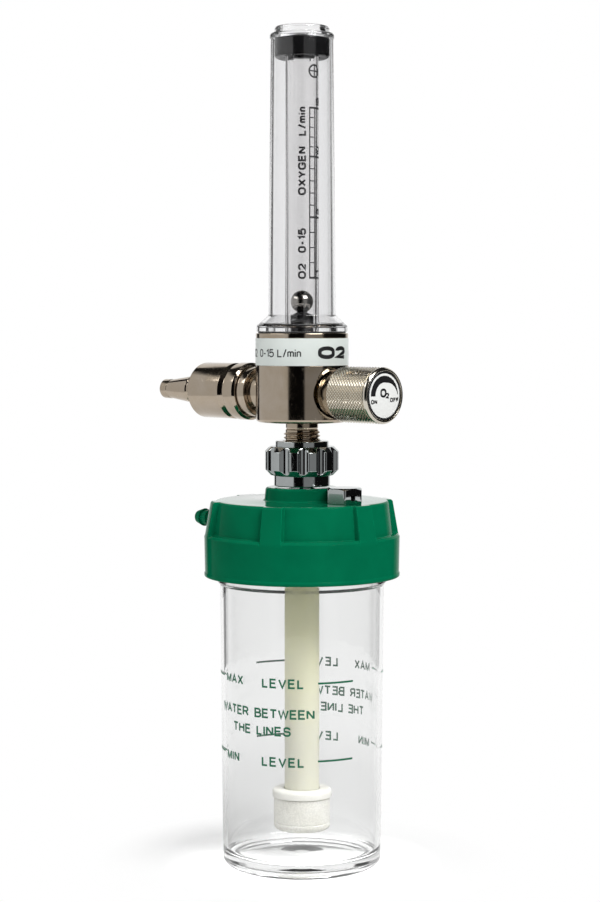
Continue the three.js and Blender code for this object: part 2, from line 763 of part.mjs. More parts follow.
function lockNut() {
  const top = roofUnderside - lockWasherThickness - 2 * washerGap;
  return hexBar(lockNutAcrossFlats, top - lockNutHeight, top)
    .subtract(rod(tailLowerRadius + washerGap, top - lockNutHeight - overshoot, top + overshoot));
}

// Fluted nut with plain collars above and below its twelve lobes
function couplingNut() {
  const lobes = turned([
    [0, nutLobesBottom],
    [nutLobeRadius - nutLobeChamfer, nutLobesBottom],
    [nutLobeRadius, nutLobesBottom + nutLobeChamfer],
    [nutLobeRadius, nutLobesTop - nutLobeChamfer],
    [nutLobeRadius - nutLobeChamfer, nutLobesTop],
    [0, nutLobesTop],
  ], 2 * nutLobeCount);
  let body = lobes;
  for (let k = 0; k < nutLobeCount; k++) {
    const flute = rod(nutFluteRadius, nutLobesBottom - overshoot, nutLobesTop + overshoot, fine);
    const place = flute.translate([nutFluteDistance, 0, 0]).rotate([0, 0, (360 * k) / nutLobeCount]);
    body = body.subtract(place);
  }
  const collars = turned([
    [0, nutBottom],
    [nutLowerCollarRadius - nutCollarBevel, nutBottom],
    [nutLowerCollarRadius, nutBottom + nutCollarBevel],
    [nutLowerCollarRadius, nutLobesBottom + overshoot],
    [nutUpperCollarRadius, nutLobesBottom + overshoot],
    [nutUpperCollarRadius, nutTop - nutCollarBevel],
    [nutUpperCollarRadius - nutCollarBevel, nutTop],
    [0, nutTop],
  ]);
  return body
    .add(collars)
    .subtract(rod(outletThreadRadius + slideGap, nutBottom + nutFlange, nutTop + overshoot))
    .subtract(rod(tailShaftRadius + slideGap, nutBottom - overshoot, nutBottom + nutFlange + overshoot))
    .rotate([0, 0, nutTurn]);
}

// Threaded outlet under the valve body
function outletFitting() {
  const core = turned([
    [outletBoreRadius, outletBottom],
    [outletThreadRadius - outletThreadDepth, outletBottom],
    [outletThreadRadius - outletThreadDepth, outletNeckBottom],
    [outletNeckRadius, outletNeckBottom],
    [outletNeckRadius, bodyBottom + outletSpigotLength],
    [outletBoreRadius, bodyBottom + outletSpigotLength],
    [outletBoreRadius, outletBottom],
  ], fine);
  const turns = Math.floor((outletThreadLength - outletThreadPitch) / outletThreadPitch);
  const ridge = threadRidge({
    root: outletThreadRadius - outletThreadDepth - seatGap,
    crest: outletThreadRadius,
    rootWidth: outletThreadPitch * outletThreadRoot,
    crestWidth: outletThreadPitch * outletThreadCrest,
    pitch: outletThreadPitch,
    turns,
    start: outletNeckBottom - outletThreadPitch * (turns + outletThreadRunout),
    stepsPerTurn: fine,
  });
  return core
    .add(ridge)
    .subtract(rod(tailNoseRadius + seatGap, outletBottom - overshoot, tailNoseTop + seatGap));
}

// Valve body: a turned block with wells for the tube, the knob and the inlet, and the ducts between them
function valveBody() {
  const outside = turned([
    [0, bodyBottom],
    ...quarterRound(bodyRadius - bodyRounding, bodyBottom + bodyRounding, bodyRounding, bodyRounding, -90, 3),
    [bodyRadius, labelBottom - washerGap],
    [bodyRadius - labelThickness, labelBottom - washerGap],
    [bodyRadius - labelThickness, labelTop + washerGap],
    [bodyRadius, labelTop + washerGap],
    [bodyRadius, bodyTop - edge],
    [bodyRadius - edge, bodyTop],
    [0, bodyTop],
  ], coarse);
  const portEnd = inletWellDistance - inletSpigotLength;
  const seatSpigotFloor = seatPocketFloor - seatSpigotLength;
  const coverDuctPlace = -(seatFlangeRadius + coverSpigotRadius) / 2;
  const valveDuctPlace = -(valveBoreEnd + valveDuctStep);
  const cuts = [
    rod(coverSpigotRadius + seatGap, bodyWellFloor, bodyTop + overshoot, coarse),
    rod(seatFlangeRadius + seatGap, seatPocketFloor, bodyWellFloor + overshoot),
    rod(seatSpigotRadius + seatGap, seatSpigotFloor, seatPocketFloor + overshoot),
    rod(outletNeckRadius + seatGap, bodyBottom - overshoot, bodyBottom + outletSpigotLength + seatGap),
    rod(outletBoreRadius, bodyBottom, valveAxis + outletBoreRadius, fine),
    alongValve(rod(knobWellRadius, knobWellDistance, bodyRadius + overshoot, coarse)),
    alongValve(rod(valveBoreRadius, valveBoreEnd, knobWellDistance + overshoot)),
    alongValve(rod(orificeRadius, 0, valveBoreEnd + overshoot, fine)),
    alongInlet(rod(inletNeckRadius + seatGap, inletWellDistance, bodyRadius + overshoot)),
    alongInlet(rod(inletSpigotRadius + seatGap, portEnd, inletWellDistance + overshoot)),
    duct(portEnd + ductInset, valveAxis + ductInset, 0, seatSpigotFloor + ductInset),
    duct(coverDuctPlace, bodyWellFloor + ductInset, valveDuctPlace, valveAxis + valveDuctRise),
  ];
  return cuts.reduce((solid, cut) => solid.subtract(cut), outside);
}

// Printed band that lies in the body's shallow recess
function labelBand() {
  const inner = bodyRadius - labelThickness + washerGap;
  return ring(inner, inner + labelThickness, labelBottom, labelTop, coarse);
}

// Clear cover: threaded spigot, flange, cone, tapered wall, bead and a closed top
function tubeCover() {
  const innerFoot = coverFootRadius - coverWall;
  const flangeTop = coverBottom + coverFlangeThickness;
  const beadRadius = coverTopRadius + coverBeadStandOut;
  const rounding = coverBossRounding;
  const dimpleRim = coverBossRadius - coverDimpleInset;
  const dimpleFloor = coverTop - coverDimpleDepth;
  return turned([
    [innerFoot, coverSpigotBottom],
    [coverSpigotRadius, coverSpigotBottom],
    [coverSpigotRadius, coverBottom],
    [coverFlangeRadius, coverBottom],
    [coverFlangeRadius, flangeTop],
    [coverFootRadius, coverConeTop],
    [coverTopRadius, coverBeadBottom],
    [beadRadius, coverBeadBottom + coverBeadBevel],
    [beadRadius, coverBeadTop - coverBeadBevel],
    [coverTopRadius, coverBeadTop],
    [coverBossRadius, coverBeadTop],
    ...quarterRound(coverBossRadius - rounding, coverTop - rounding, rounding, rounding, 0, 3),
    [dimpleRim, coverTop],
    [dimpleRim - coverDimpleSlope, dimpleFloor],
    [0, dimpleFloor],
    [0, coverRoofUnderside],
    [coverInnerTop, coverRoofUnderside],
    [innerFoot, coverConeTop],
    [innerFoot, coverSpigotBottom],
  ], coarse);
}

function coverGasket() {
  return ring(
    coverSpigotRadius + 2 * seatGap,
    coverFlangeRadius - coverGasketInset,
    bodyTop + washerGap / 2,
    bodyTop + washerGap / 2 + coverGasketThickness,
    coarse,
  );
}

// Clear metering tube: its bore widens upwards, and two notches in its rim let the gas out
function ballTube() {
  const top = topPlugBottom + topPlugGroove;
  const wall = turned([
    [ballTubeBoreFoot, ballTubeBottom],
    [ballTubeOuterRadius, ballTubeBottom],
    [ballTubeOuterRadius, top],
    [ballTubeBoreTop, top],
    [ballTubeBoreFoot, ballTubeBottom],
  ]);
  const notch = block(2 * (ballTubeOuterRadius + overshoot), tubeNotchWidth, 2 * tubeNotchDepth, [0, 0, top]);
  return wall.subtract(notch);
}

function topPlug() {
  const outer = coverInnerTop - seatGap;
  const grooveTop = topPlugBottom + topPlugGroove + seatGap;
  const bossBottom = topPlugBottom - topPlugBossDrop;
  return turned([
    [0, bossBottom],
    [ballTubeBoreTop - topPlugBossInset, bossBottom],
    [ballTubeBoreTop - seatGap, bossBottom + topPlugBossLead],
    [ballTubeBoreTop - seatGap, grooveTop],
    [ballTubeOuterRadius + seatGap, grooveTop],
    [ballTubeOuterRadius + seatGap, topPlugBottom],
    [outer - topPlugBevel, topPlugBottom],
    [outer, topPlugBottom + topPlugBevel],
    [outer, topPlugTop],
    [0, topPlugTop],
  ], coarse);
}

// Seat that the ball rests on, with a bore for the rising gas
function ballSeat() {
  const flangeBottom = seatPocketFloor + seatGap;
  return turned([
    [ductRadius, flangeBottom - seatSpigotLength],
    [seatSpigotRadius, flangeBottom - seatSpigotLength],
    [seatSpigotRadius, flangeBottom],
    [seatFlangeRadius, flangeBottom],
    [seatFlangeRadius, seatFlangeTop],
    [ballSeatRadius, seatFlangeTop],
    [ballSeatRadius, ballSeatShoulder],
    [ballSeatRimRadius, ballSeatRim],
    [ductRadius, ballSeatRim],
    [ductRadius, flangeBottom - seatSpigotLength],
  ]);
}

function tubeRing() {
  return softRing(
    ballTubeOuterRadius + washerGap,
    seatFlangeRadius,
    seatFlangeTop + washerGap,
    seatFlangeTop + washerGap + tubeRingHeight,
  );
}

function floatBall() {
  return solidOf(new THREE.SphereGeometry(ballRadius, 20, 12)).translate([0, 0, ballRest]);
}

// Inlet pieces, made along Z from the body's axis outwards
function inletAdaptor() {
  const filterBack = inletCoreEnd - filterThickness - seatGap;
  const flangeSeat = inletWellDistance + seatGap;
  return turned([
    [inletBoreRadius, flangeSeat - inletSpigotLength],
    [inletSpigotRadius, flangeSeat - inletSpigotLength],
    [inletSpigotRadius, flangeSeat],
    [inletNeckRadius, flangeSeat],
    [inletNeckRadius, inletNeckEnd],
    [inletCoreRadius, inletNeckEnd],
    [inletCoreRadius, inletCoreEnd],
    [filterRadius + seatGap, inletCoreEnd],
    [filterRadius + seatGap, filterBack],
    [inletBoreRadius, filterBack],
    [inletBoreRadius, flangeSeat - inletSpigotLength],
  ]);
}

function inletLockRing() {
  return softRing(
    inletCoreRadius + seatGap,
    lockRingRadius,
    lockRingStart,
    lockRingStart + lockRingWidth,
    coarse,
  );
}

function inletFilter() {
  return rod(filterRadius, inletCoreEnd - filterThickness, inletCoreEnd, fine);
}

function inletSleeve() {
  const collarEnd = sleeveStart + sleeveCollarWidth;
  const grooveEnd = collarEnd + sleeveGrooveWidth;
  const shoulder = sleeveEnd - sleeveConeLength;
  return turned([
    [inletCoreRadius + seatGap, sleeveStart],
    [sleeveCollarRadius - sleeveCollarBevel, sleeveStart],
    [sleeveCollarRadius, sleeveStart + sleeveCollarBevel],
    [sleeveCollarRadius, collarEnd],
    [sleeveCollarRadius - sleeveGrooveDepth, collarEnd + sleeveGrooveStart],
    [sleeveCollarRadius - sleeveGrooveDepth, grooveEnd - sleeveGrooveEnd],
    [sleeveRadius, grooveEnd],
    [sleeveRadius, shoulder - sleeveShoulderLength],
    [sleeveShoulderRadius, shoulder],
    [sleeveMouthRadius, sleeveEnd],
    [probeShaftRadius + seatGap, sleeveEnd],
    [probeShaftRadius + seatGap, sleeveLipStart],
    [inletCoreRadius + seatGap, sleeveLipStart],
    [inletCoreRadius + seatGap, sleeveStart],
  ], coarse);
}

function inletSealRing() {
  return softRing(
    filterRadius + seatGap,
    inletCoreRadius,
    inletCoreEnd + washerGap,
    probeFlangeStart - washerGap,
  );
}

function inletProbe() {
  const tipStart = probeReach - probeTipLength;
  return turned([
    [probeBoreRadius, probeFlangeStart],
    [inletCoreRadius, probeFlangeStart],
    [inletCoreRadius, probeFlangeStart + probeFlangeThickness],
    [probeShaftRadius, probeFlangeStart + probeFlangeThickness],
    [probeShaftRadius, probeConeStart - probeNotchBack],
    [probeShaftRadius - probeNotchDepth, probeConeStart - probeNotchMiddle],
    [probeShaftRadius, probeConeStart],
    [probeTipRadius - probeTipStep, tipStart],
    [probeTipRadius, tipStart + probeTipStepLength],
    [probeTipRadius, probeReach - probeTipBevel],
    [probeTipRadius - probeTipBevel, probeReach],
    [probeBoreRadius, probeReach],
    [probeBoreRadius, probeFlangeStart],
  ]);
}

// Valve pieces, made along Z from the body's axis outwards
function needleSeat() {
  const back = valveBoreEnd + washerGap;
  return ring(orificeRadius, valveBoreRadius - seatGap, back, back + needleSeatThickness);
}

function valveBonnet() {
  return hexBar(bonnetHexRadius * Math.sqrt(3), knobWellDistance + washerGap, bonnetFront)
    .add(rod(valveBoreRadius - seatGap, bonnetBack, bonnetHexBack + overshoot))
    .subtract(rod(stemRingRadius + slideGap, bonnetBack - overshoot, knobWellDistance, fine))
    .subtract(rod(stemRadius + slideGap, bonnetBack - overshoot, bonnetFront + overshoot, fine));
}

// Needle, O-ring lands and plain shank in one turned piece
function valveStem() {
  const landRadius = stemRingRadius - stemLandPlay;
  return turned([
    [0, valveBoreEnd],
    [orificeRadius - needleTipInset, valveBoreEnd],
    [orificeRadius - needleRootInset, needleSeatFront],
    [stemRadius, bonnetBack],
    [stemRadius, firstLand],
    [landRadius, firstLand],
    [landRadius, firstLand + stemLandWidth],
    [stemRadius, firstLand + stemLandWidth],
    [stemRadius, secondLand],
    [landRadius, secondLand],
    [landRadius, secondLand + stemLandWidth],
    [stemRadius, secondLand + stemLandWidth],
    [stemRadius, knobFront - stemEndDepth],
    [0, knobFront - stemEndDepth],
  ], fine);
}

function stemRing() {
  const back = firstLand + stemLandWidth + washerGap;
  return softRing(stemRadius + washerGap, stemRingRadius, back, secondLand - washerGap, fine);
}

function knob() {
  const faceFloor = knobFront - knobFaceThickness - knobGlueGap;
  const faceRim = knobFaceRadius + knobFacePlay;
  const body = turned([
    [0, knobBackDistance],
    [knobBackRadius, knobBackDistance],
    [knobRadius - knobTaperEdge, knobTaperEnd],
    [knobRadius, knobTaperEnd + knobTaperEdge],
    [knobRadius, knobFront - 2 * knobChamfer],
    [knobRadius - knobChamfer, knobFront],
    [faceRim, knobFront],
    [faceRim, faceFloor],
    [0, faceFloor],
  ], coarse);
  const screwHole = rod(setScrewRadius + knobBorePlay, stemRadius, knobRadius + overshoot, fine)
    .rotate([90, 0, 0])
    .translate([0, 0, knobTaperEnd + setScrewPlace]);
  const boreEnd = knobFront - stemEndDepth + seatGap;
  return body
    .subtract(rod(stemRadius + knobBorePlay, knobBackDistance - overshoot, boreEnd, fine))
    .subtract(screwHole);
}

function knobFace() {
  const back = knobFront - knobFaceThickness - seatGap;
  return rod(knobFaceRadius, back, back + knobFaceThickness, coarse);
}

function setScrew() {
  const inner = stemRadius + seatGap;
  const outer = inner + setScrewLength;
  return rod(setScrewRadius, inner, outer, fine)
    .subtract(hexBar(setScrewSocket, outer - setScrewSocketDepth, knobRadius))
    .rotate([90, 0, 0])
    .translate([0, 0, knobTaperEnd + setScrewPlace]);
}

// Dip tube and the diffuser on its end
function dipTube() {
  return ring(dipTubeBore, dipTubeRadius, dipTubeBottom, dipTubeTop);
}

function diffuserStone() {
  const boss = dipTubeBore - seatGap;
  const rounding = diffuserRounding;
  return turned([
    [0, diffuserFloorGap],
    ...quarterRound(diffuserRadius - rounding, diffuserFloorGap + rounding, rounding, rounding, -90, 3),
    [diffuserRadius, diffuserTop],
    [boss, diffuserTop],
    [boss, diffuserTop + diffuserBossHeight],
    [diffuserBore, diffuserTop + diffuserBossHeight],
    [diffuserBore, diffuserFloorGap + diffuserFloor],
    [0, diffuserFloorGap + diffuserFloor],
  ]);
}

function diffuserCap() {
  const bottom = diffuserTop + washerGap;
  const top = bottom + diffuserCapHeight;
  const rounding = diffuserCapRounding;
  return turned([
    [dipTubeRadius + seatGap, bottom],
    [diffuserCapRadius - edge, bottom],
    [diffuserCapRadius, bottom + edge],
    ...quarterRound(diffuserCapRadius - rounding, top - rounding, rounding, rounding, 0, 3),
    [dipTubeRadius + seatGap, top],
    [dipTubeRadius + seatGap, bottom],
  ]);
}

function grouped(pieces, { turn = 0, tilt = 0, height = 0 } = {}) {
  const group = new THREE.Group();
  group.add(...pieces);
  group.rotation.set(THREE.MathUtils.degToRad(tilt), 0, THREE.MathUtils.degToRad(turn));
  group.position.z = height;
  return group;
}

const flowTube = grouped([
  piece("valve_body", valveBody(), "nickel"),
  piece("label_band", labelBand(), "label"),
  piece("outlet_fitting", outletFitting(), "nickel"),
  piece("cover_gasket", coverGasket(), "blackRubber"),
  piece("tube_cover", tubeCover(), "clearPlastic"),
  piece("ball_tube", ballTube(), "clearPlastic"),
  piece("tube_o_ring", tubeRing(), "blackRubber"),
  piece("ball_seat", ballSeat(), "blackRubber"),
  piece("float_ball", floatBall(), "steel"),
  piece("top_plug", topPlug(), "blackRubber"),
]);

const inlet = grouped([
  piece("inlet_adaptor", inletAdaptor(), "nickel"),
  piece("inlet_lock_ring", inletLockRing(), "nickel"),
  piece("inlet_filter", inletFilter(), "bronze"),
  piece("inlet_sleeve", inletSleeve(), "nickel"),
  piece("inlet_seal_ring", inletSealRing(), "blackRubber"),
  piece("inlet_probe", inletProbe(), "nickel"),
], { tilt: -90, height: valveAxis });

const valve = grouped([
  piece("needle_seat", needleSeat(), "brass"),
  piece("valve_bonnet", valveBonnet(), "brass"),
  piece("stem_o_ring", stemRing(), "blackRubber"),
  piece("valve_stem", valveStem(), "steel"),
  piece("control_knob", knob(), "nickel"),
  piece("knob_face", knobFace(), "label"),
  piece("knob_set_screw", setScrew(), "steel"),
], { tilt: 90, height: valveAxis });

const [reliefX, reliefY] = reliefPlace();
const relief = grouped([
  piece("relief_housing", reliefHousing(), "chrome"),
  piece("relief_poppet", reliefPoppet(), "whitePlastic"),
  piece("relief_spring", reliefSpring(), "steel"),
]);
relief.position.set(reliefX, reliefY, 0);

const humidifier = grouped([
  piece("lid", lid(), "greenPlastic"),
  relief,
  piece("tailpiece", tailpiece(), "nickel"),
  piece("tailpiece_o_ring", tailpieceRing(), "blackRubber"),
  piece("lock_washer", lockWasher(), "blackRubber"),
  piece("lock_nut", lockNut(), "nickel"),
  piece("coupling_nut", couplingNut(), "chrome"),
  piece("bottle_gasket", bottleGasket(), "blackRubber"),
  piece("bottle", bottle(), "clearPlastic"),
  piece("dip_tube", dipTube(), "tubing"),
  piece("diffuser_cap", diffuserCap(), "whitePlastic"),
  piece("diffuser_stone", diffuserStone(), "whitePlastic"),
], { turn: lidTurn });

const part = new THREE.Group();
part.add(humidifier, flowTube, inlet, valve);

export default part;
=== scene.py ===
import math

import bmesh
import bpy
from mathutils import Matrix, Vector


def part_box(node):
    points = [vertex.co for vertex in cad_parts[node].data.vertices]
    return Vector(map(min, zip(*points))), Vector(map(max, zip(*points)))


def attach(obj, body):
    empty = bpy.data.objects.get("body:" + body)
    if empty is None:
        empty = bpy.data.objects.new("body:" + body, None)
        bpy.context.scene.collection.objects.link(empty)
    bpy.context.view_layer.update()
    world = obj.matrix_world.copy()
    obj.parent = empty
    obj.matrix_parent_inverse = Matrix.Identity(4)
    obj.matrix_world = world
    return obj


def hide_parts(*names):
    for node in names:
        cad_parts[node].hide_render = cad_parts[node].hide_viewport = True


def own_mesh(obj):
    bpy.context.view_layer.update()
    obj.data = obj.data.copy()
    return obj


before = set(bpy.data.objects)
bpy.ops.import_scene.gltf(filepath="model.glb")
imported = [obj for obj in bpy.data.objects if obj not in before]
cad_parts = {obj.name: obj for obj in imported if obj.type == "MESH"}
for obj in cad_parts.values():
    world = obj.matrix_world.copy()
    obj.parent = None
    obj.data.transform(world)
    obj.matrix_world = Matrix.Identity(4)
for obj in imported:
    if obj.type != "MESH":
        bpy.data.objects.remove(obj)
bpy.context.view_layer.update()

bl_info = {
    "name": "Oxygen Flowmeter with Humidifier",
    "version": (1, 0, 0),
    "blender": (4, 5, 0),
    "location": "3D View > Sidebar > Flowmeter",
    "description": "Builds the visible pieces of an oxygen flowmeter and its humidifier bottle",
    "category": "Object",
}

# Sizes in the forms below are in millimetres and become metres where a mesh is made.
MM = 0.001
UP = (0.0, 0.0, 1.0)
SIDEWAYS = (0.0, 1.0, 0.0)
WHITE = (1.0, 1.0, 1.0, 1.0)
LID_TURN = math.radians(-4.0)
SIDE_AXIS_HEIGHT = 183.5
LABEL_RADIUS = 17.98
BALL_TUBE_RADIUS = 6.5
BOTTLE_FOOT_RADIUS = 30.8
BOTTLE_WIDENING = 1.1
BOTTLE_WALL_HEIGHT = 109.5
PRINT_GAP = 0.012

# Where the camera stands: angles in radians, distances in metres from the bottle's axis and the floor.
CAMERA_ANGLE = math.radians(-135.5)
CAMERA_TILT = math.radians(3.549)
CAMERA_DISTANCE = 0.8043
CAMERA_LEFT = 0.00077
CAMERA_HEIGHT = 0.2109
CAMERA_LENS = 83.0


# ---------------------------------------------------------------- settings


def colour_setting(name, description, default):
    """Gives a colour that a user may change."""
    return bpy.props.FloatVectorProperty(
        name=name, description=description, subtype="COLOR", size=3,
        min=0.0, max=1.0, default=default)


def length_setting(name, description, default):
    """Gives a length that a user may change, from its millimetres."""
    return bpy.props.FloatProperty(
        name=name, description=description, default=default * MM,
        min=0.0, unit="LENGTH", precision=5)


class FlowmeterSizes(bpy.types.PropertyGroup):
    """Sizes of the fine forms that a user may change."""

    knurl_depth: length_setting("Knurl Depth", "Depth of the knob's diamond knurl", 0.45)
    knurl_count: bpy.props.IntProperty(
        name="Knurl Count", description="Diamonds round the knob", default=48, min=12, max=120)
    ink_height: length_setting("Ink Height", "Height that printed ink stands proud", 0.035)
    scale_letter: length_setting("Scale Letters", "Height of the capitals beside the scale", 3.1)
    level_letter: length_setting("Level Letters", "Height of the capitals on the bottle", 3.7)
    turned_sides: bpy.props.IntProperty(
        name="Turned Sides", description="Faces round a turned piece", default=144, min=24, max=256)


class FlowmeterColours(bpy.types.PropertyGroup):
    """Colours of the finishes."""

    nickel: colour_setting("Nickel", "Warm nickel plating", (0.435, 0.37, 0.3))
    knob: colour_setting("Knob", "Pale nickel of the knob", (0.62, 0.58, 0.50))
    chrome: colour_setting("Chrome", "Bright plating of the nut and relief valve", (0.44, 0.465, 0.465))
    brass: colour_setting("Brass", "Bare turned brass", (0.62, 0.43, 0.17))
    steel: colour_setting("Steel", "Polished steel of the ball", (0.42, 0.40, 0.37))
    bronze: colour_setting("Bronze", "Sintered bronze of the filter", (0.30, 0.20, 0.10))
    green: colour_setting("Green", "Moulded lid", (0.001, 0.142, 0.064))
    rubber: colour_setting("Rubber", "Sealing rubber", (0.012, 0.012, 0.012))
    black: colour_setting("Black Plastic", "Plug and ball seat", (0.006, 0.006, 0.0065))
    label: colour_setting("Label", "Printed film on the body", (0.74, 0.79, 0.76))
    face: colour_setting("Knob Face", "White disc on the knob", (0.84, 0.85, 0.83))
    tube: colour_setting("Dip Tube", "Milky tubing", (0.57, 0.562, 0.48))
    porous: colour_setting("Diffuser", "White porous plastic", (0.76, 0.75, 0.70))
    black_ink: colour_setting("Black Ink", "Scale and knob print", (0.008, 0.008, 0.009))
    green_ink: colour_setting("Green Ink", "Level marks of the bottle", (0.0, 0.125, 0.056))


class FlowmeterStage(bpy.types.PropertyGroup):
    """Light and floor."""

    floor: colour_setting("Floor", "Pale floor", (0.82, 0.82, 0.82))
    key_power: bpy.props.FloatProperty(
        name="Key Lamp", description="Power of the large soft lamp", default=21.0, min=0.0, unit="POWER")
    fill_power: bpy.props.FloatProperty(
        name="Fill Lamp", description="Power of the second lamp", default=6.0, min=0.0, unit="POWER")


# ---------------------------------------------------------------- forms


def rounded(corners, steps=6):
    """Gives the plain points of an outline whose corners are (radius, height, rounding)."""
    points = []
    count = len(corners)
    for index, corner in enumerate(corners):
        rounding = corner[2] if len(corner) > 2 else 0.0
        here = Vector(corner[:2])
        if rounding <= 0.0:
            points.append((here.x, here.y))
            continue
        back = Vector(corners[index - 1][:2]) - here
        ahead = Vector(corners[(index + 1) % count][:2]) - here
        half = back.angle(ahead) / 2.0
        run = min(rounding / math.tan(half), back.length * 0.98, ahead.length * 0.98)
        radius = run * math.tan(half)
        centre = here + (back.normalized() + ahead.normalized()).normalized() * (radius / math.sin(half))
        start = here + back.normalized() * run - centre
        end = here + ahead.normalized() * run - centre
        first = math.atan2(start.y, start.x)
        sweep = (math.atan2(end.y, end.x) - first + math.pi) % (2.0 * math.pi) - math.pi
        for step in range(steps + 1):
            angle = first + sweep * step / steps
            points.append((centre.x + radius * math.cos(angle), centre.y + radius * math.sin(angle)))
    return points


def eased(share):
    """Gives a share from 0 to 1 with a soft start and a soft end."""
    share = min(max(share, 0.0), 1.0)
    return share * share * (3.0 - 2.0 * share)


def spot_at(angle, radius=1.0, height=0.0):
    """Gives the point at an angle round the Z axis."""
    return (radius * math.cos(angle), radius * math.sin(angle), height)


def even_angles(count):
    """Gives angles spread evenly over a full turn."""
    return [2.0 * math.pi * k / count for k in range(count)]


def nearest(angle, first, period):
    """Gives how far an angle is from the nearest of evenly spaced ones."""
    return (angle - first + period / 2.0) % period - period / 2.0


def faces_between(low, high):
    """Gives the faces between two closed rings of vertices."""
    count = len(low)
    return [(low[a], low[(a + 1) % count], high[(a + 1) % count], high[a]) for a in range(count)]


def turned(rows, angles, loop=True):
    """Gives vertices and faces of a form turned about its own Z.

    A row is (radius, height), or a function of the angle that gives both.
    """
    vertices = []
    rings = []
    for row in rows:
        if callable(row):
            spots = [row(angle) for angle in angles]
        else:
            spots = [row] * len(angles)
        if max(spot[0] for spot in spots) < 1e-6:
            rings.append([len(vertices)] * len(angles))
            vertices.append((0.0, 0.0, spots[0][1]))
            continue
        rings.append(list(range(len(vertices), len(vertices) + len(angles))))
        for spot, angle in zip(spots, angles):
            vertices.append(spot_at(angle, *spot))
    faces = []
    for k in range(len(rings) if loop else len(rings) - 1):
        for face in faces_between(rings[k], rings[(k + 1) % len(rings)]):
            corners = list(dict.fromkeys(face))
            if len(corners) > 2:
                faces.append(corners)
    return vertices, faces


def along(direction, origin):
    """Gives the placing that lays a turned form's Z along a direction."""
    return Matrix.Translation(Vector(origin)) @ Vector(direction).to_track_quat("Z", "Y").to_matrix().to_4x4()


def upright(turn=0.0, origin=(0.0, 0.0, 0.0)):
    """Gives the placing of an upright form, turned about its own Z."""
    return Matrix.Translation(Vector(origin)) @ Matrix.Rotation(turn, 4, "Z")


INLET_PLACE = along(SIDEWAYS, (0.0, 0.0, SIDE_AXIS_HEIGHT))
KNOB_PLACE = along((0.0, -1.0, 0.0), (0.0, 0.0, SIDE_AXIS_HEIGHT))
RELIEF_SPOT = Vector(spot_at(math.radians(-88.0), 22.0))


def mesh_from(name, shape, place=None):
    """Makes mesh data in metres from vertices in millimetres and faces, which it turns outward."""
    vertices, faces = shape
    place = place or Matrix.Identity(4)
    form = bmesh.new()
    made = [form.verts.new((place @ Vector(v)) * MM) for v in vertices]
    for face in faces:
        try:
            form.faces.new([made[k] for k in face])
        except ValueError:  # the same face again
            continue
    bmesh.ops.remove_doubles(form, verts=form.verts, dist=2e-7)
    bmesh.ops.recalc_face_normals(form, faces=form.faces)
    mesh = bpy.data.meshes.new(name)
    form.to_mesh(mesh)
    form.free()
    return mesh


def finish_named(name):
    """Gives the finish of that name, and builds it the first time from the colours in the settings."""
    finish = bpy.data.materials.get(name)
    if finish:
        return finish
    maker, colour, choices = FINISHES[name]
    if isinstance(colour, str):
        colour = getattr(bpy.context.scene.flowmeter_colours, colour)
    return maker(name, colour, **choices)


def in_scene(name, data):
    """Puts an object in the scene and gives it."""
    thing = bpy.data.objects.new(name, data)
    bpy.context.scene.collection.objects.link(thing)
    return thing


def add_piece(name, mesh, finish, body, stands_for=(), sharp=32.0):
    """Puts a piece in the scene, with its finish, its body and the solid that it stands for."""
    mesh.shade_smooth()
    mesh.set_sharp_from_angle(angle=math.radians(sharp))
    piece = in_scene(name, mesh)
    mesh.materials.append(finish_named(finish))
    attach(piece, body)
    if stands_for:
        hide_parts(*stands_for)
    return piece


def add_form(name, shape, finish, body, stands_for=(), place=None, sharp=32.0, cutters=()):
    """Adds a piece from its vertices and faces, with the cutters' volumes taken out."""
    mesh = mesh_from(name, shape, place)
    if cutters:
        mesh = cut_away(mesh, cutters)
    return add_piece(name, mesh, finish, body, stands_for, sharp)


def add_turned(name, corners, finish, body, stands_for=(), place=None, sides=None, steps=5):
    """Adds a turned piece from the corners of its outline."""
    sides = sides or bpy.context.scene.flowmeter_sizes.turned_sides
    shape = turned(rounded(corners, steps), even_angles(sides))
    return add_form(name, shape, finish, body, stands_for, place)


def cut_away(mesh, cutters):
    """Takes the cutters' volumes out of a mesh and gives the new mesh."""
    work = in_scene("work", mesh)
    tools = []
    for shape, place in cutters:
        tool = in_scene("cutter", mesh_from("cutter", shape, place))
        tools.append(tool)
        cut = work.modifiers.new("cut", "BOOLEAN")
        cut.operation = "DIFFERENCE"
        cut.solver = "EXACT"
        cut.object = tool
    graph = bpy.context.evaluated_depsgraph_get()
    result = bpy.data.meshes.new_from_object(work.evaluated_get(graph))
    result.name = mesh.name
    for extra in tools + [work]:
        data = extra.data
        bpy.data.objects.remove(extra)
        bpy.data.meshes.remove(data)
    return result


def rod(radius, low, high, sides=96):
    """Gives a plain round cutter between two heights."""
    return turned([(0.0, low), (radius, low), (radius, high), (0.0, high)], even_angles(sides), loop=False)


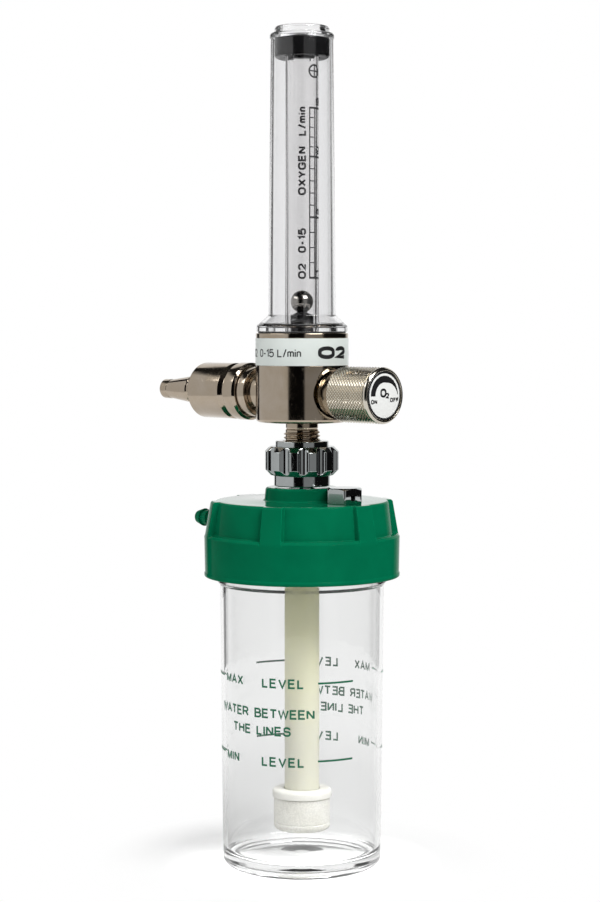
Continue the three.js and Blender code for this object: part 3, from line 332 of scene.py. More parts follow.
def with_ridge(shape, start, pitch, turns, root, crest, root_width, crest_width, steps):
    """Adds the closed helical ridge of a screw thread, which fades out at both ends."""
    fade_turns, foot_depth, end_depth = 0.2, 0.1, 0.06
    vertices, faces = shape
    count = int(turns * steps)
    first = len(vertices)
    for k in range(count + 1):
        progress = k / steps
        fade = eased(min(progress, turns - progress) / fade_turns)
        angle = 2.0 * math.pi * progress
        height = start + pitch * progress
        peak = root - end_depth + (crest - root + end_depth) * fade
        foot = root - foot_depth
        for radius, offset in ((foot, -root_width / 2.0), (peak, -crest_width / 2.0),
                               (peak, crest_width / 2.0), (foot, root_width / 2.0)):
            vertices.append(spot_at(angle, radius, height + offset))
    for here in range(first, first + 4 * count, 4):
        faces += faces_between(range(here, here + 4), range(here + 4, here + 8))
    faces.append((first + 3, first + 2, first + 1, first))
    last = first + 4 * count
    faces.append((last, last + 1, last + 2, last + 3))
    return vertices, faces


# ---------------------------------------------------------------- print


# Letters as strokes: a bar parts the strokes and a space their points. A point is across,up and
# perhaps a rounding, in hundredths of the height of a capital.
STROKES = {
    "A": "0,0 36,100 72,0 | 12,33 60,33",
    "B": "34,53 0,53 0,100 58,100,22 58,53,22 30,53 | 30,53 64,53,25 64,0,25 0,0 0,53",
    "E": "58,100 0,100 0,0 60,0 | 0,53 53,53",
    "F": "56,100 0,100 0,0 | 0,52 50,52",
    "G": "70,72 70,100,30 0,100,34 0,0,34 70,0,26 70,44 42,44",
    "H": "0,0 0,100 | 64,0 64,100 | 0,53 64,53",
    "I": "0,0 0,100",
    "L": "0,100 0,0 52,0",
    "M": "0,0 0,100 | 0,97 39,8 78,97 | 78,100 78,0",
    "N": "0,0 0,100 | 2,96 62,4 | 64,0 64,100",
    "O": "0,0,35 74,0,35 74,100,35 0,100,35",
    "R": "0,0 0,100 62,100,25 62,49,25 0,49 | 38,49 66,0",
    "S": "60,75 60,100,24 2,100,26 2,54,22 63,50,22 63,0,26 0,0,26 0,27",
    "T": "0,100 66,100 | 33,100 33,0",
    "V": "0,100 34,0 68,100",
    "W": "0,100 24,0 48,95 72,0 96,100",
    "X": "0,0 66,100 | 0,100 66,0",
    "Y": "0,100 34,45 68,100 | 34,45 34,0",
    "0": "0,0,28 58,0,28 58,100,28 0,100,28",
    "1": "0,76 25,100 25,0",
    "2": "0,72 0,100,28 58,100,28 58,56,20 0,0 60,0",
    "5": "55,100 8,100 3,55 30,66,20 60,60,24 60,0,28 0,0,28 0,24",
    "m": "0,0 0,70 | 0,48 0,70,16 34,70,16 34,0 | 34,48 34,70,16 68,70,16 68,0",
    "n": "0,0 0,70 | 0,48 0,70,18 40,70,18 40,0",
    "i": "0,0 0,70 | 0,90 0,102",
    "/": "0,-6 36,106",
    "-": "0,42 34,42",
}


def strokes_of(character):
    """Gives the strokes of a letter as lists of points, on a grid whose capitals are 1 high."""
    return [[tuple(int(value) / 100.0 for value in point.split(",")) for point in stroke.split()]
            for stroke in STROKES[character].split("|")]


def bar_between(rows, closed):
    """Gives a flat bar from rows of its near and far points, as thick as the ink stands proud."""
    ink = bpy.context.scene.flowmeter_sizes.ink_height / MM
    form = bmesh.new()
    rings = [[form.verts.new((spot[0], spot[1], level)) for spot, level in
              ((near, -ink), (far, -ink), (far, ink), (near, ink))] for near, far in rows]
    for k in range(len(rings) if closed else len(rings) - 1):
        for face in faces_between(rings[k], rings[(k + 1) % len(rings)]):
            form.faces.new(face)
    if not closed:
        form.faces.new(rings[0][::-1])
        form.faces.new(rings[-1])
    return form


def merged(forms):
    """Puts forms together as one and frees them."""
    whole = bmesh.new()
    for form in forms:
        part = bpy.data.meshes.new("part")
        form.to_mesh(part)
        whole.from_mesh(part)
        bpy.data.meshes.remove(part)
        form.free()
    return whole


def stroke_form(points, width, closed):
    """Gives a flat closed ribbon of even width along a line, in millimetres."""
    sharpest, longest_miter = 0.3, 1.9
    spots = [Vector(p) for p in points]
    count = len(spots)
    rows = []
    for k, spot in enumerate(spots):
        before = spots[k - 1] if (k > 0 or closed) else None
        after = spots[(k + 1) % count] if (k < count - 1 or closed) else None
        way_in = (spot - before).normalized() if before is not None else (after - spot).normalized()
        way_out = (after - spot).normalized() if after is not None else way_in
        mean = way_in + way_out
        mean = mean.normalized() if mean.length > 1e-4 else way_in
        side = Vector((-mean.y, mean.x))
        across = side.dot(Vector((-way_in.y, way_in.x)))
        stretch = min(1.0 / max(across, sharpest), longest_miter)
        rows.append((spot - side * width / 2.0 * stretch, spot + side * width / 2.0 * stretch))
    return bar_between(rows, closed)


def letters(text, height, weight=0.13, spacing=0.30, word_gap=0.42, narrow=1.0):
    """Gives a line of flat stroke letters in millimetres, centred on its middle."""
    forms = []
    cursor = 0.0
    for character in text:
        if character == " ":
            cursor += word_gap
            continue
        strokes = strokes_of(character)
        for stroke in strokes:
            closed = len(stroke) == 4 and all(len(point) > 2 for point in stroke)
            points = [((cursor + x * narrow) * height, (weight / 2.0 + y * (1.0 - weight)) * height)
                      for x, y in rounded(stroke, 5)]
            forms.append(stroke_form(points, weight * height, closed))
        cursor += max(point[0] for stroke in strokes for point in stroke) * narrow + spacing
    total = (cursor - spacing) * height
    return shift_form(merged(forms), -total / 2.0, -height / 2.0)


def bar_form(width, height):
    """Gives a flat closed bar in millimetres, centred."""
    ink = bpy.context.scene.flowmeter_sizes.ink_height / MM
    form = bmesh.new()
    bmesh.ops.create_cube(form, size=1.0)
    bmesh.ops.scale(form, verts=form.verts, vec=(width, height, 2.0 * ink))
    return form


def ring_form(inner, outer, first=0.0, last=360.0, inner_end=None, steps=72):
    """Gives a flat closed ring or a tapering arc in millimetres, from one angle to another."""
    inner_end = inner if inner_end is None else inner_end
    whole = abs(last - first) >= 359.9
    rows = []
    for k in range(steps if whole else steps + 1):
        share = k / steps
        angle = math.radians(first + (last - first) * share)
        rows.append((spot_at(angle, inner + (inner_end - inner) * share), spot_at(angle, outer)))
    return bar_between(rows, whole)


def turn_form(form, degrees):
    """Turns a flat form in its own plane."""
    bmesh.ops.rotate(form, verts=form.verts, cent=(0.0, 0.0, 0.0),
                     matrix=Matrix.Rotation(math.radians(degrees), 3, "Z"))
    return form


def shift_form(form, across, up):
    """Shifts a flat form in its own plane."""
    bmesh.ops.translate(form, verts=form.verts, vec=(across, up, 0.0))
    return form


def sliced(form, pitch):
    """Cuts a flat form into narrow upright strips, so that it can bend round a cylinder."""
    here = min(v.co.x for v in form.verts) + pitch
    high = max(v.co.x for v in form.verts)
    while here < high:
        everything = form.verts[:] + form.edges[:] + form.faces[:]
        bmesh.ops.bisect_plane(form, geom=everything, plane_co=(here, 0.0, 0.0), plane_no=(1.0, 0.0, 0.0))
        here += pitch
    return form


def wrap_form(form, radius, degrees, height, pitch, turn=0.0):
    """Bends a flat form round an upright cylinder, or a slight cone whose radius is a function.

    Its middle comes at an angle from the camera's side, in degrees, and at a height.
    """
    angle = CAMERA_ANGLE + math.radians(degrees) + turn
    for vertex in sliced(form, pitch).verts:
        level = height + vertex.co.y
        base = radius(level) if callable(radius) else radius
        vertex.co = spot_at(angle + vertex.co.x / base, base + vertex.co.z + PRINT_GAP, level)
    return form


def add_print(name, forms, ink, body, place=None, sharp=32.0):
    """Adds flat or bent forms in millimetres as one printed piece."""
    whole = merged(forms)
    place = place or Matrix.Identity(4)
    for vertex in whole.verts:
        vertex.co = (place @ vertex.co) * MM
    bmesh.ops.recalc_face_normals(whole, faces=whole.faces)
    mesh = bpy.data.meshes.new(name)
    whole.to_mesh(mesh)
    whole.free()
    return add_piece(name, mesh, ink, body, sharp=sharp)


# ---------------------------------------------------------------- shader tools


def fill(tree, node, sockets):
    """Joins or fills a node's sockets."""
    for key, value in sockets.items():
        if isinstance(value, bpy.types.NodeSocket):
            tree.links.new(value, node.inputs[key])
        else:
            node.inputs[key].default_value = value


def put(tree, kind, sockets=None, **settings):
    """Places a node, sets it, and joins or fills its sockets."""
    node = tree.nodes.new(kind)
    for key, value in settings.items():
        setattr(node, key, value)
    fill(tree, node, sockets or {})
    return node


def spread(tree, value, low, high, to_low=0.0, to_high=1.0):
    """Maps a value from one range to another."""
    return put(tree, "ShaderNodeMapRange", {
        "Value": value, "From Min": low, "From Max": high,
        "To Min": to_low, "To Max": to_high}).outputs["Result"]


def blend_colours(tree, factor, first, second, mode="MIX"):
    """Mixes two colours by a factor, or multiplies them."""
    node = put(tree, "ShaderNodeMix", {0: factor, 6: first, 7: second}, data_type="RGBA", blend_type=mode)
    return node.outputs[2]


def calculate(tree, operation, first, second=0.0):
    """Works out a sum on one or two values."""
    return put(tree, "ShaderNodeMath", {0: first, 1: second}, operation=operation).outputs[0]


def noise(tree, where, scale, detail, **more):
    """Gives the value of a noise."""
    sockets = {"Vector": where, "Scale": scale, "Detail": detail, **more}
    return put(tree, "ShaderNodeTexNoise", sockets).outputs[0]


def fine_relief(tree, strength, height, distance=0.0001):
    """Gives the normal of a surface with a fine relief."""
    sockets = {"Strength": strength, "Distance": distance, "Height": height}
    return put(tree, "ShaderNodeBump", sockets).outputs[0]


def dot_product(tree, first, second):
    """Gives the dot product of two vectors."""
    node = put(tree, "ShaderNodeVectorMath", {0: first, 1: second}, operation="DOT_PRODUCT")
    return node.outputs["Value"]


def object_coordinates(tree):
    """Gives the coordinates that lie still on the object."""
    return tree.nodes.new("ShaderNodeTexCoord").outputs["Object"]


def surface_normal(tree):
    """Gives the normal of the plain form."""
    return tree.nodes.new("ShaderNodeNewGeometry").outputs["Normal"]


def upward(tree, low, high, to_high=1.0):
    """Gives a mask of the faces that look up."""
    up = put(tree, "ShaderNodeSeparateXYZ", {0: surface_normal(tree)}).outputs["Z"]
    return spread(tree, up, low, high, 0.0, to_high)


def full(colour, factor=1.0):
    """Gives a colour with its fourth value, made darker or paler by a factor."""
    return tuple(min(part * factor, 1.0) for part in colour) + (1.0,)


def grey(level):
    """Gives a grey with its fourth value."""
    return (level, level, level, 1.0)


# ---------------------------------------------------------------- shared groups


def handling_marks(tree, given, where):
    """Fine scratches and smudges of a handled surface."""
    bent = put(tree, "ShaderNodeTexNoise", {"Vector": where, "Scale": 90.0, "Detail": 2.0})
    warp = put(tree, "ShaderNodeVectorMath", {0: bent.outputs["Color"], "Scale": 0.012}, operation="SCALE")
    moved = put(tree, "ShaderNodeVectorMath", {0: where, 1: warp.outputs[0]}, operation="ADD")
    long_way = put(tree, "ShaderNodeMapping", {"Vector": moved.outputs[0], "Scale": (1.0, 1.0, 0.06),
                                               "Rotation": (0.5, 0.35, 0.8)})
    lines = noise(tree, long_way.outputs[0], given["Scratch Scale"], 1.0)
    broad = noise(tree, where, given["Smudge Scale"], 5.0, Roughness=0.6, Distortion=0.4)
    return {"Scratches": spread(tree, lines, 0.60, 0.72), "Smudges": spread(tree, broad, 0.36, 0.68)}


def turning_rings(tree, given, where):
    """Fine rings that a lathe leaves round a piece, along its axis."""
    rings = put(tree, "ShaderNodeTexNoise", {"W": dot_product(tree, where, given["Axis"]),
                                             "Scale": given["Rings per Metre"], "Detail": 3.0},
                noise_dimensions="1D")
    return {"Rings": rings.outputs[0]}


def edge_wear(tree, given, where):
    """A broken mask along outer edges, where plating and colour wear first and where finishes paint a paler
    highlight.
    """
    soft = put(tree, "ShaderNodeBevel", {"Radius": given["Width"]}, samples=4)
    match = dot_product(tree, surface_normal(tree), soft.outputs[0])
    broken = spread(tree, noise(tree, where, given["Break Scale"], 3.0), 0.40, 0.62, 0.15, 1.0)
    return {"Edges": calculate(tree, "MULTIPLY", spread(tree, match, 0.995, 0.90), broken)}


def moulded_skin(tree, given, where):
    """The fine skin and slow flow tones of a moulded piece."""
    flow = noise(tree, where, given["Flow Scale"], 3.0, Distortion=0.8)
    return {"Grain": noise(tree, where, given["Grain Scale"], 4.0, Roughness=0.55),
            "Flow": spread(tree, flow, 0.3, 0.7)}


def settled_dust(tree, given, where):
    """Light dust that settles on faces that look up."""
    specks = noise(tree, where, given["Speck Scale"], 6.0, Roughness=0.75)
    amount = calculate(tree, "MULTIPLY", upward(tree, 0.35, 0.95), spread(tree, specks, 0.48, 0.74))
    return {"Dust": calculate(tree, "MULTIPLY", amount, given["Cover"])}


# What builds each group, and its inputs with their usual values.
GROUPS = {
    "Handling Marks": (handling_marks, {"Scratch Scale": 700.0, "Smudge Scale": 70.0}),
    "Turning Rings": (turning_rings, {"Axis": UP, "Rings per Metre": 9000.0}),
    "Edge Wear": (edge_wear, {"Width": 0.0004, "Break Scale": 500.0}),
    "Moulded Skin": (moulded_skin, {"Grain Scale": 2600.0, "Flow Scale": 55.0}),
    "Settled Dust": (settled_dust, {"Cover": 0.3, "Speck Scale": 900.0}),
}


def use_group(tree, name, *values):
    """Places a shared group in a material and gives its outputs; the group is built the first time."""
    maker, inputs = GROUPS[name]
    group = bpy.data.node_groups.get(name)
    if not group:
        group = bpy.data.node_groups.new(name, "ShaderNodeTree")
        for label, usual in inputs.items():
            kind = "NodeSocketVector" if isinstance(usual, tuple) else "NodeSocketFloat"
            group.interface.new_socket(name=label, in_out="INPUT", socket_type=kind).default_value = usual
        results = maker(group, group.nodes.new("NodeGroupInput").outputs, object_coordinates(group))
        for label in results:
            group.interface.new_socket(name=label, in_out="OUTPUT", socket_type="NodeSocketFloat")
        fill(group, group.nodes.new("NodeGroupOutput"), results)
    return put(tree, "ShaderNodeGroup", dict(zip(inputs, values)), node_tree=group).outputs


# ---------------------------------------------------------------- finishes


DUST = (0.55, 0.55, 0.52, 1.0)
# Colour of the dip tube's upper end: a yellow stain, made paler with painted light against the lid's shade.
STAINED_AND_LIT_TUBING = (0.85, 0.835, 0.515, 1.0)
CLEAR_PLASTIC_INDEX = 1.49
WARMER = (1.0, 0.97, 0.9)


def new_finish(name):
    """Starts a material and gives it with its tree, its main shader and its output."""
    finish = bpy.data.materials.new(name)
    finish.use_nodes = True
    tree = finish.node_tree
    tree.nodes.clear()
    shader = tree.nodes.new("ShaderNodeBsdfPrincipled")
    leave = put(tree, "ShaderNodeOutputMaterial", {"Surface": shader.outputs[0]})
    return finish, tree, shader, leave


def handled_roughness(tree, marks, rough, scratch):
    """Gives a roughness between two values that smudges part and scratches raise."""
    return calculate(tree, "ADD", spread(tree, marks["Smudges"], 0.0, 1.0, *rough),
                     spread(tree, marks["Scratches"], 0.0, 1.0, 0.0, scratch))


def grainy_roughness(tree, skin, low, high):
    """Gives a roughness between two values that follows the grain of the skin."""
    return spread(tree, skin["Grain"], 0.3, 0.7, low, high)


def metal_finish(name, colour, axis, rough, rings, ring_depth, warmth=(1.0, 1.0, 1.0)):
    """Plated or bare turned metal with lathe rings, handling marks and paler edges."""
    finish, tree, shader, _ = new_finish(name)
    marks = use_group(tree, "Handling Marks", 800.0, 90.0)
    turning = use_group(tree, "Turning Rings", axis, rings)
    edges = use_group(tree, "Edge Wear", 0.00035, 600.0)
    tint = tuple(part * share for part, share in zip(colour, warmth))
    stain = blend_colours(tree, marks["Smudges"], full(colour), full(tint, 0.9))
    fill(tree, shader, {
        "Base Color": blend_colours(tree, edges["Edges"], stain, full(colour, 1.15)),
        "Metallic": 1.0,
        "Roughness": handled_roughness(tree, marks, rough, 0.12),
        "Normal": fine_relief(tree, ring_depth, turning["Rings"])})
    return finish


def moulded_finish(name, colour, rough, grain, dust, flow, gloss=0.5, edge=1.35, index=1.5, top_coat=0.0):
    """Moulded plastic with a fine skin, flow tones, paler edges that are partly wear and partly painted
    highlight, a little dust and a glossier top.
    """
    finish, tree, shader, _ = new_finish(name)
    skin = use_group(tree, "Moulded Skin", 2600.0, 60.0)
    marks = use_group(tree, "Handling Marks", 600.0, 60.0)
    edges = use_group(tree, "Edge Wear", 0.0004, 400.0)
    settled = use_group(tree, "Settled Dust", dust, 1100.0)
    tone = blend_colours(tree, skin["Flow"], full(colour, 1.0 - flow), full(colour, 1.0 + flow))
    # Paler edges: partly wear, partly a painted highlight along the rounds.
    worn_and_highlit = blend_colours(tree, edges["Edges"], tone, full(colour, edge))
    fill(tree, shader, {
        "Base Color": blend_colours(tree, settled["Dust"], worn_and_highlit, DUST),
        "Roughness": handled_roughness(tree, marks, rough, 0.03),
        "Normal": fine_relief(tree, grain, skin["Grain"]),
        "Specular IOR Level": gloss,
        "IOR": index})
    if top_coat:
        fill(tree, shader, {"Coat Weight": upward(tree, 0.9, 0.99, top_coat), "Coat Roughness": 0.08})
    return finish


def clear_finish(name, colour, roughest, shadow):
    """Clear moulded plastic that lets the lamps' light through."""
    finish, tree, shader, leave = new_finish(name)
    marks = use_group(tree, "Handling Marks", 500.0, 80.0)
    skin = use_group(tree, "Moulded Skin", 900.0, 40.0)
    fill(tree, shader, {
        "Base Color": blend_colours(tree, skin["Flow"], full(colour), full(colour, 0.985)),
        "Transmission Weight": 1.0,
        "IOR": CLEAR_PLASTIC_INDEX,
        "Roughness": spread(tree, marks["Smudges"], 0.3, 1.0, 0.0, roughest),
        "Normal": fine_relief(tree, 0.01, skin["Flow"], 0.0002)})
    pale = put(tree, "ShaderNodeBsdfTransparent", {"Color": grey(shadow)})
    path = tree.nodes.new("ShaderNodeLightPath")
    chooser = put(tree, "ShaderNodeMixShader", {0: path.outputs["Is Shadow Ray"],
                                                1: shader.outputs[0], 2: pale.outputs[0]})
    fill(tree, leave, {"Surface": chooser.outputs[0]})
    return finish


def ink_finish(name, colour, rough):
    """Printed ink with small uneven patches."""
    finish, tree, shader, _ = new_finish(name)
    skin = use_group(tree, "Moulded Skin", 4200.0, 300.0)
    paler = full(tuple(part + 0.006 for part in colour))
    fill(tree, shader, {
        "Base Color": blend_colours(tree, skin["Flow"], full(colour), paler),
        "Roughness": grainy_roughness(tree, skin, rough - 0.06, rough + 0.1),
        "Normal": fine_relief(tree, 0.05, skin["Grain"], 0.00005)})
    return finish


def porous_finish(name, colour, cells, depth, shade, rough, metallic=0.0, soft=0.25):
    """Sintered beads, pale or bronze, with painted shade in the pores between them."""
    finish, tree, shader, _ = new_finish(name)
    beads_at = put(tree, "ShaderNodeTexVoronoi", {"Vector": object_coordinates(tree), "Scale": cells})
    skin = use_group(tree, "Moulded Skin", 1800.0, 120.0)
    pores = spread(tree, beads_at.outputs["Distance"], 0.25, 0.75)
    # The pores between the beads are darkened: painted shade.
    beads = blend_colours(tree, pores, full(colour), full(colour, shade))
    tone = blend_colours(tree, skin["Flow"], beads, full(colour, 0.95), mode="MULTIPLY")
    fill(tree, shader, {
        "Base Color": blend_colours(tree, 0.35, beads, tone),
        "Roughness": grainy_roughness(tree, skin, rough - 0.1, rough + 0.1),
        "Metallic": metallic,
        "Normal": fine_relief(tree, depth, calculate(tree, "SUBTRACT", 1.0, pores))})
    if soft:
        fill(tree, shader, {"Subsurface Weight": soft, "Subsurface Radius": (0.002, 0.002, 0.0017)})
    return finish


def milky_finish(name, colour):
    """Milky tubing with a yellower upper end: a yellow stain, made paler with painted light where the lid
    shades it.
    """
    finish, tree, shader, _ = new_finish(name)
    skin = use_group(tree, "Moulded Skin", 1400.0, 50.0)
    height = put(tree, "ShaderNodeSeparateXYZ", {0: object_coordinates(tree)}).outputs["Z"]
    # The upper end's colour is a yellow stain made paler with painted light against the lid's shade.
    stained_and_lit = calculate(tree, "ADD", spread(tree, height, 0.045, 0.112),
                     calculate(tree, "MULTIPLY", skin["Flow"], 0.12))
    fill(tree, shader, {
        "Base Color": blend_colours(tree, stained_and_lit, full(colour, 1.12), STAINED_AND_LIT_TUBING),
        "Roughness": grainy_roughness(tree, skin, 0.38, 0.5),
        "Subsurface Weight": 0.2,
        "Subsurface Radius": (0.003, 0.003, 0.002),
        "Normal": fine_relief(tree, 0.05, skin["Flow"])})
    return finish


def plated(axis, rough, rings, ring_depth, **more):
    """Gives the choices of a metal finish."""
    return dict(axis=axis, rough=rough, rings=rings, ring_depth=ring_depth, **more)


def moulded(rough, grain, dust, flow, **more):
    """Gives the choices of a moulded finish."""
    return dict(rough=rough, grain=grain, dust=dust, flow=flow, **more)


# What builds each finish, its colour or the setting that holds it, and its choices.
FINISHES = {
    "Nickel Plate": (metal_finish, "nickel", plated(UP, (0.07, 0.15), 7000.0, 0.012, warmth=WARMER)),
    "Nickel Inlet": (metal_finish, "nickel", plated(SIDEWAYS, (0.07, 0.15), 7000.0, 0.012, warmth=WARMER)),
    "Chrome Upright": (metal_finish, "chrome", plated(UP, (0.05, 0.12), 8000.0, 0.010)),
    "Nickel Knob": (metal_finish, "knob", plated(SIDEWAYS, (0.10, 0.2), 8000.0, 0.010)),
    "Turned Brass": (metal_finish, "brass", plated(SIDEWAYS, (0.16, 0.3), 6000.0, 0.05)),
    "Polished Steel": (metal_finish, "steel", plated(UP, (0.05, 0.12), 5000.0, 0.004)),
    # The lid's much paler edges are a painted highlight along its rounds.
    "Green Lid": (moulded_finish, "green",
                  moulded((0.07, 0.13), 0.02, 0.02, 0.08, gloss=0.02, edge=1.8, index=1.33, top_coat=0.8)),
    "Sealing Rubber": (moulded_finish, "rubber", moulded((0.5, 0.65), 0.15, 0.15, 0.2)),
    "Black Plastic": (moulded_finish, "black",
                      moulded((0.12, 0.22), 0.03, 0.0, 0.15, gloss=0.05, edge=1.3, index=1.33)),
    "Label Film": (moulded_finish, "label", moulded((0.3, 0.42), 0.02, 0.0, 0.03, edge=1.05)),
    "Face Disc": (moulded_finish, "face", moulded((0.3, 0.42), 0.02, 0.0, 0.02, edge=1.02)),
    "Moulded Cap": (moulded_finish, "porous", moulded((0.32, 0.45), 0.04, 0.0, 0.03, edge=1.02)),
    "Clear Cover": (clear_finish, (0.935, 0.935, 0.94), {"roughest": 0.02, "shadow": 0.95}),
    "Clear Ball Tube": (clear_finish, (0.96, 0.955, 0.955), {"roughest": 0.02, "shadow": 0.95}),
    "Clear Bottle": (clear_finish, (0.933, 0.936, 0.934), {"roughest": 0.035, "shadow": 0.96}),
    "Milky Tube": (milky_finish, "tube", {}),
    "Porous White": (porous_finish, "porous", {"cells": 1600.0, "depth": 0.25, "shade": 0.86, "rough": 0.7}),
    "Sintered Bronze": (porous_finish, "bronze", {"cells": 2500.0, "depth": 0.6, "shade": 0.4, "rough": 0.45,
                                                  "metallic": 0.9, "soft": 0.0}),
    "Black Ink": (ink_finish, "black_ink", {"rough": 0.4}),
    "Green Ink": (ink_finish, "green_ink", {"rough": 0.32}),
}


# ---------------------------------------------------------------- operators


class FLOWMETER_OT_bottle(bpy.types.Operator):
    """Adds the clear bottle with its threaded neck, bead and recessed foot."""
    bl_idname = "flowmeter.bottle"
    bl_label = "Bottle"

    def execute(self, context):
        neck = 32.4
        shoulder = BOTTLE_FOOT_RADIUS + BOTTLE_WIDENING
        outline = rounded([
            (0.0, 2.4), (24.8, 2.4, 1.0), (26.4, 0.0, 0.6), (BOTTLE_FOOT_RADIUS, 0.0, 2.7),
            (shoulder, BOTTLE_WALL_HEIGHT, 0.6), (32.95, 110.7, 0.6), (32.95, 112.0, 0.5), (neck, 112.4, 0.2),
            (neck, 126.0, 0.4), (29.8, 126.0, 0.5), (29.8, 110.6, 3.0), (28.85, 9.0, 0.1), (28.85, 5.2, 2.6),
            (8.5, 5.2, 3.0), (3.0, 4.7, 1.0), (0.0, 4.7)], 7)
        shape = with_ridge(turned(outline, even_angles(180), loop=False), start=117.6, pitch=4.0, turns=1.5,
                           root=neck, crest=33.6, root_width=1.8, crest_width=0.9, steps=64)
        add_form("clear_bottle", shape, "Clear Bottle", "bottle", ("bottle",),
                 upright(LID_TURN), 28.0)
        return {"FINISHED"}


def bottle_radius(height):
    """Gives the outer radius of the bottle's wall at a height."""
    return BOTTLE_FOOT_RADIUS + BOTTLE_WIDENING * height / BOTTLE_WALL_HEIGHT


class FLOWMETER_OT_level_print(bpy.types.Operator):
    """Prints the level lines and words on the bottle, front and back."""
    bl_idname = "flowmeter.level_print"
    bl_label = "Level Print"

    def execute(self, context):
        letter = context.scene.flowmeter_sizes.level_letter / MM
        pitch = 0.9
        forms = []
        for turn in (0.0, math.pi):
            for text, height, gap, word_gap in (
                    ("MAX LEVEL", 75.3, 0.34, 2.3), ("WATER BETWEEN", 63.7, 0.26, 0.7),
                    ("THE LINES", 57.1, 0.30, 0.6), ("MIN LEVEL", 45.4, 0.36, 2.9)):
                words = letters(text, letter, 0.195, gap, word_gap)
                forms.append(wrap_form(words, bottle_radius, -32.0, height, pitch, turn))
            for height in (75.5, 45.9):
                for first, last in ((11.0, 37.5), (-97.0, -70.5)):
                    bar = bar_form(math.radians(last - first) * bottle_radius(height), 0.75)
                    forms.append(wrap_form(bar, bottle_radius, (first + last) / 2.0, height, pitch, turn))
        add_print("level_print", forms, "Green Ink", "bottle", sharp=30.0)
        return {"FINISHED"}


LUG_COUNT = 6
LUG_SPACING = 60.0
FIRST_LUG = -90.0


def lug_share(angle):
    """Gives 1 on a lug's face, 0 between lugs, and a rounded step at its sides."""
    reach, half_width, step = 36.3, 4.6, 0.65
    local = nearest(angle, math.radians(FIRST_LUG), math.radians(LUG_SPACING))
    return eased((half_width - abs(math.sin(local)) * reach) / step)


def lid_angles():
    """Gives the angles of the lid's columns, close together at the sides of the lugs."""
    angles = []
    for lug in range(LUG_COUNT):
        base = FIRST_LUG + LUG_SPACING * lug
        for start, step, count in ((-30.0, 1.5, 15), (-7.6, 0.2, 12), (-5.2, 1.04, 11), (5.4, 0.2, 12),
                                   (9.0, 1.5, 14)):
            angles += [math.radians(base + (start + step * k)) for k in range(count)]
    return sorted(angles)


def lug_row(low, high):
    """Gives the row of the lid that lies at one point between the lugs and at another on them."""
    def row(angle):
        share = lug_share(angle)
        return (low[0] + (high[0] - low[0]) * share, low[1] + (high[1] - low[1]) * share)
    return row


class FLOWMETER_OT_lid(bpy.types.Operator):
    """Adds the green lid with its lugs, panels, collar and hose nipple."""
    bl_idname = "flowmeter.lid"
    bl_label = "Lid"

    def execute(self, context):
        panel = rounded([(37.6, 120.0), (37.95, 128.2, 0.5), (37.0, 129.2, 0.35), (35.1, 129.2, 0.45),
                         (33.6, 142.0, 1.1), (28.0, 142.0)], 6)[1:-1]
        lug = rounded([(37.6, 120.0), (37.93, 127.4, 0.5), (37.86, 128.3, 0.35), (37.6, 129.5, 0.45),
                       (35.4, 142.0, 1.1), (28.0, 142.0)], 6)[1:-1]
        rows = rounded([(34.4, 112.7), (37.98, 112.7, 0.5), (37.98, 113.9, 0.35), (37.7, 114.5, 0.4),
                        (37.9, 125.0), (36.0, 125.0)], 4)[1:-1]
        rows += [lug_row(low, high) for low, high in zip(panel, lug)]
        rows += rounded([(30.0, 142.0), (14.6, 142.0, 1.0), (14.1, 147.2, 1.2), (12.0, 147.2, 0.3),
                         (4.8, 147.2, 0.2), (4.8, 139.5, 0.1), (30.0, 139.5, 1.0), (31.0, 127.5, 0.2),
                         (34.4, 127.5, 0.3), (34.4, 112.7, 0.3), (36.0, 112.7)], 5)[:-1]
        relief_bore = (rod(4.9, 138.0, 144.0), Matrix.Translation(RELIEF_SPOT))
        add_form("green_lid", turned(rows, lid_angles()), "Green Lid", "humidifier",
                 ("lid",), upright(LID_TURN), 38.0, [relief_bore])
        bore, tip, barb, root = 1.7, 63.99, 3.65, 2.7
        nipple = [(bore, 33.0), (5.6, 33.0), (5.3, 35.2, 0.6), (barb, 37.4, 1.0), (barb, 46.6, 0.2)]
        for distance in (51.4, 55.6, 59.8):
            nipple += [(root, distance, 0.15), (barb, distance, 0.1)]
        nipple += [(root, 63.3, 0.1), (2.1, tip, 0.2), (bore, tip, 0.1)]
        add_turned("hose_nipple", nipple, "Green Lid", "humidifier",
                   place=along(spot_at(math.radians(86.0)), (0.0, 0.0, 131.1)), sides=72, steps=4)
        return {"FINISHED"}


class FLOWMETER_OT_relief_spring(bpy.types.Operator):
    """Adds the coil spring that holds the relief valve shut and gives way as it lifts."""
    bl_idname = "flowmeter.relief_spring"
    bl_label = "Relief Spring"

    def execute(self, context):
        wire, turns, steps, sides = 0.25, 4, 36, 12
        low, high = (Vector(corner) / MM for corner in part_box("relief_spring"))
        coil = (high.x - low.x) / 2.0 - wire
        rise = high.z - low.z - 2.0 * wire
        vertices, faces = [], []
        for step in range(turns * steps + 1):
            angle = 2.0 * math.pi * step / steps
            outward = Vector(spot_at(angle))
            ahead = Vector((-math.sin(angle) * coil, math.cos(angle) * coil, rise / turns / 2.0 / math.pi))
            across = ahead.cross(outward).normalized()
            middle = RELIEF_SPOT + outward * coil
            middle.z = low.z + wire + rise * step / (turns * steps)
            for side in even_angles(sides):
                vertices.append(middle + (outward * math.cos(side) + across * math.sin(side)) * wire)
            if step:
                last = len(vertices) - sides
                faces += faces_between(range(last, last + sides), range(last - sides, last))
        faces += [tuple(range(sides)), tuple(range(len(vertices) - sides, len(vertices)))]
        piece = add_form("valve_spring", (vertices, faces), "Polished Steel", "humidifier",
                         ("relief_spring",))
        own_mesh(piece)
        return {"FINISHED"}


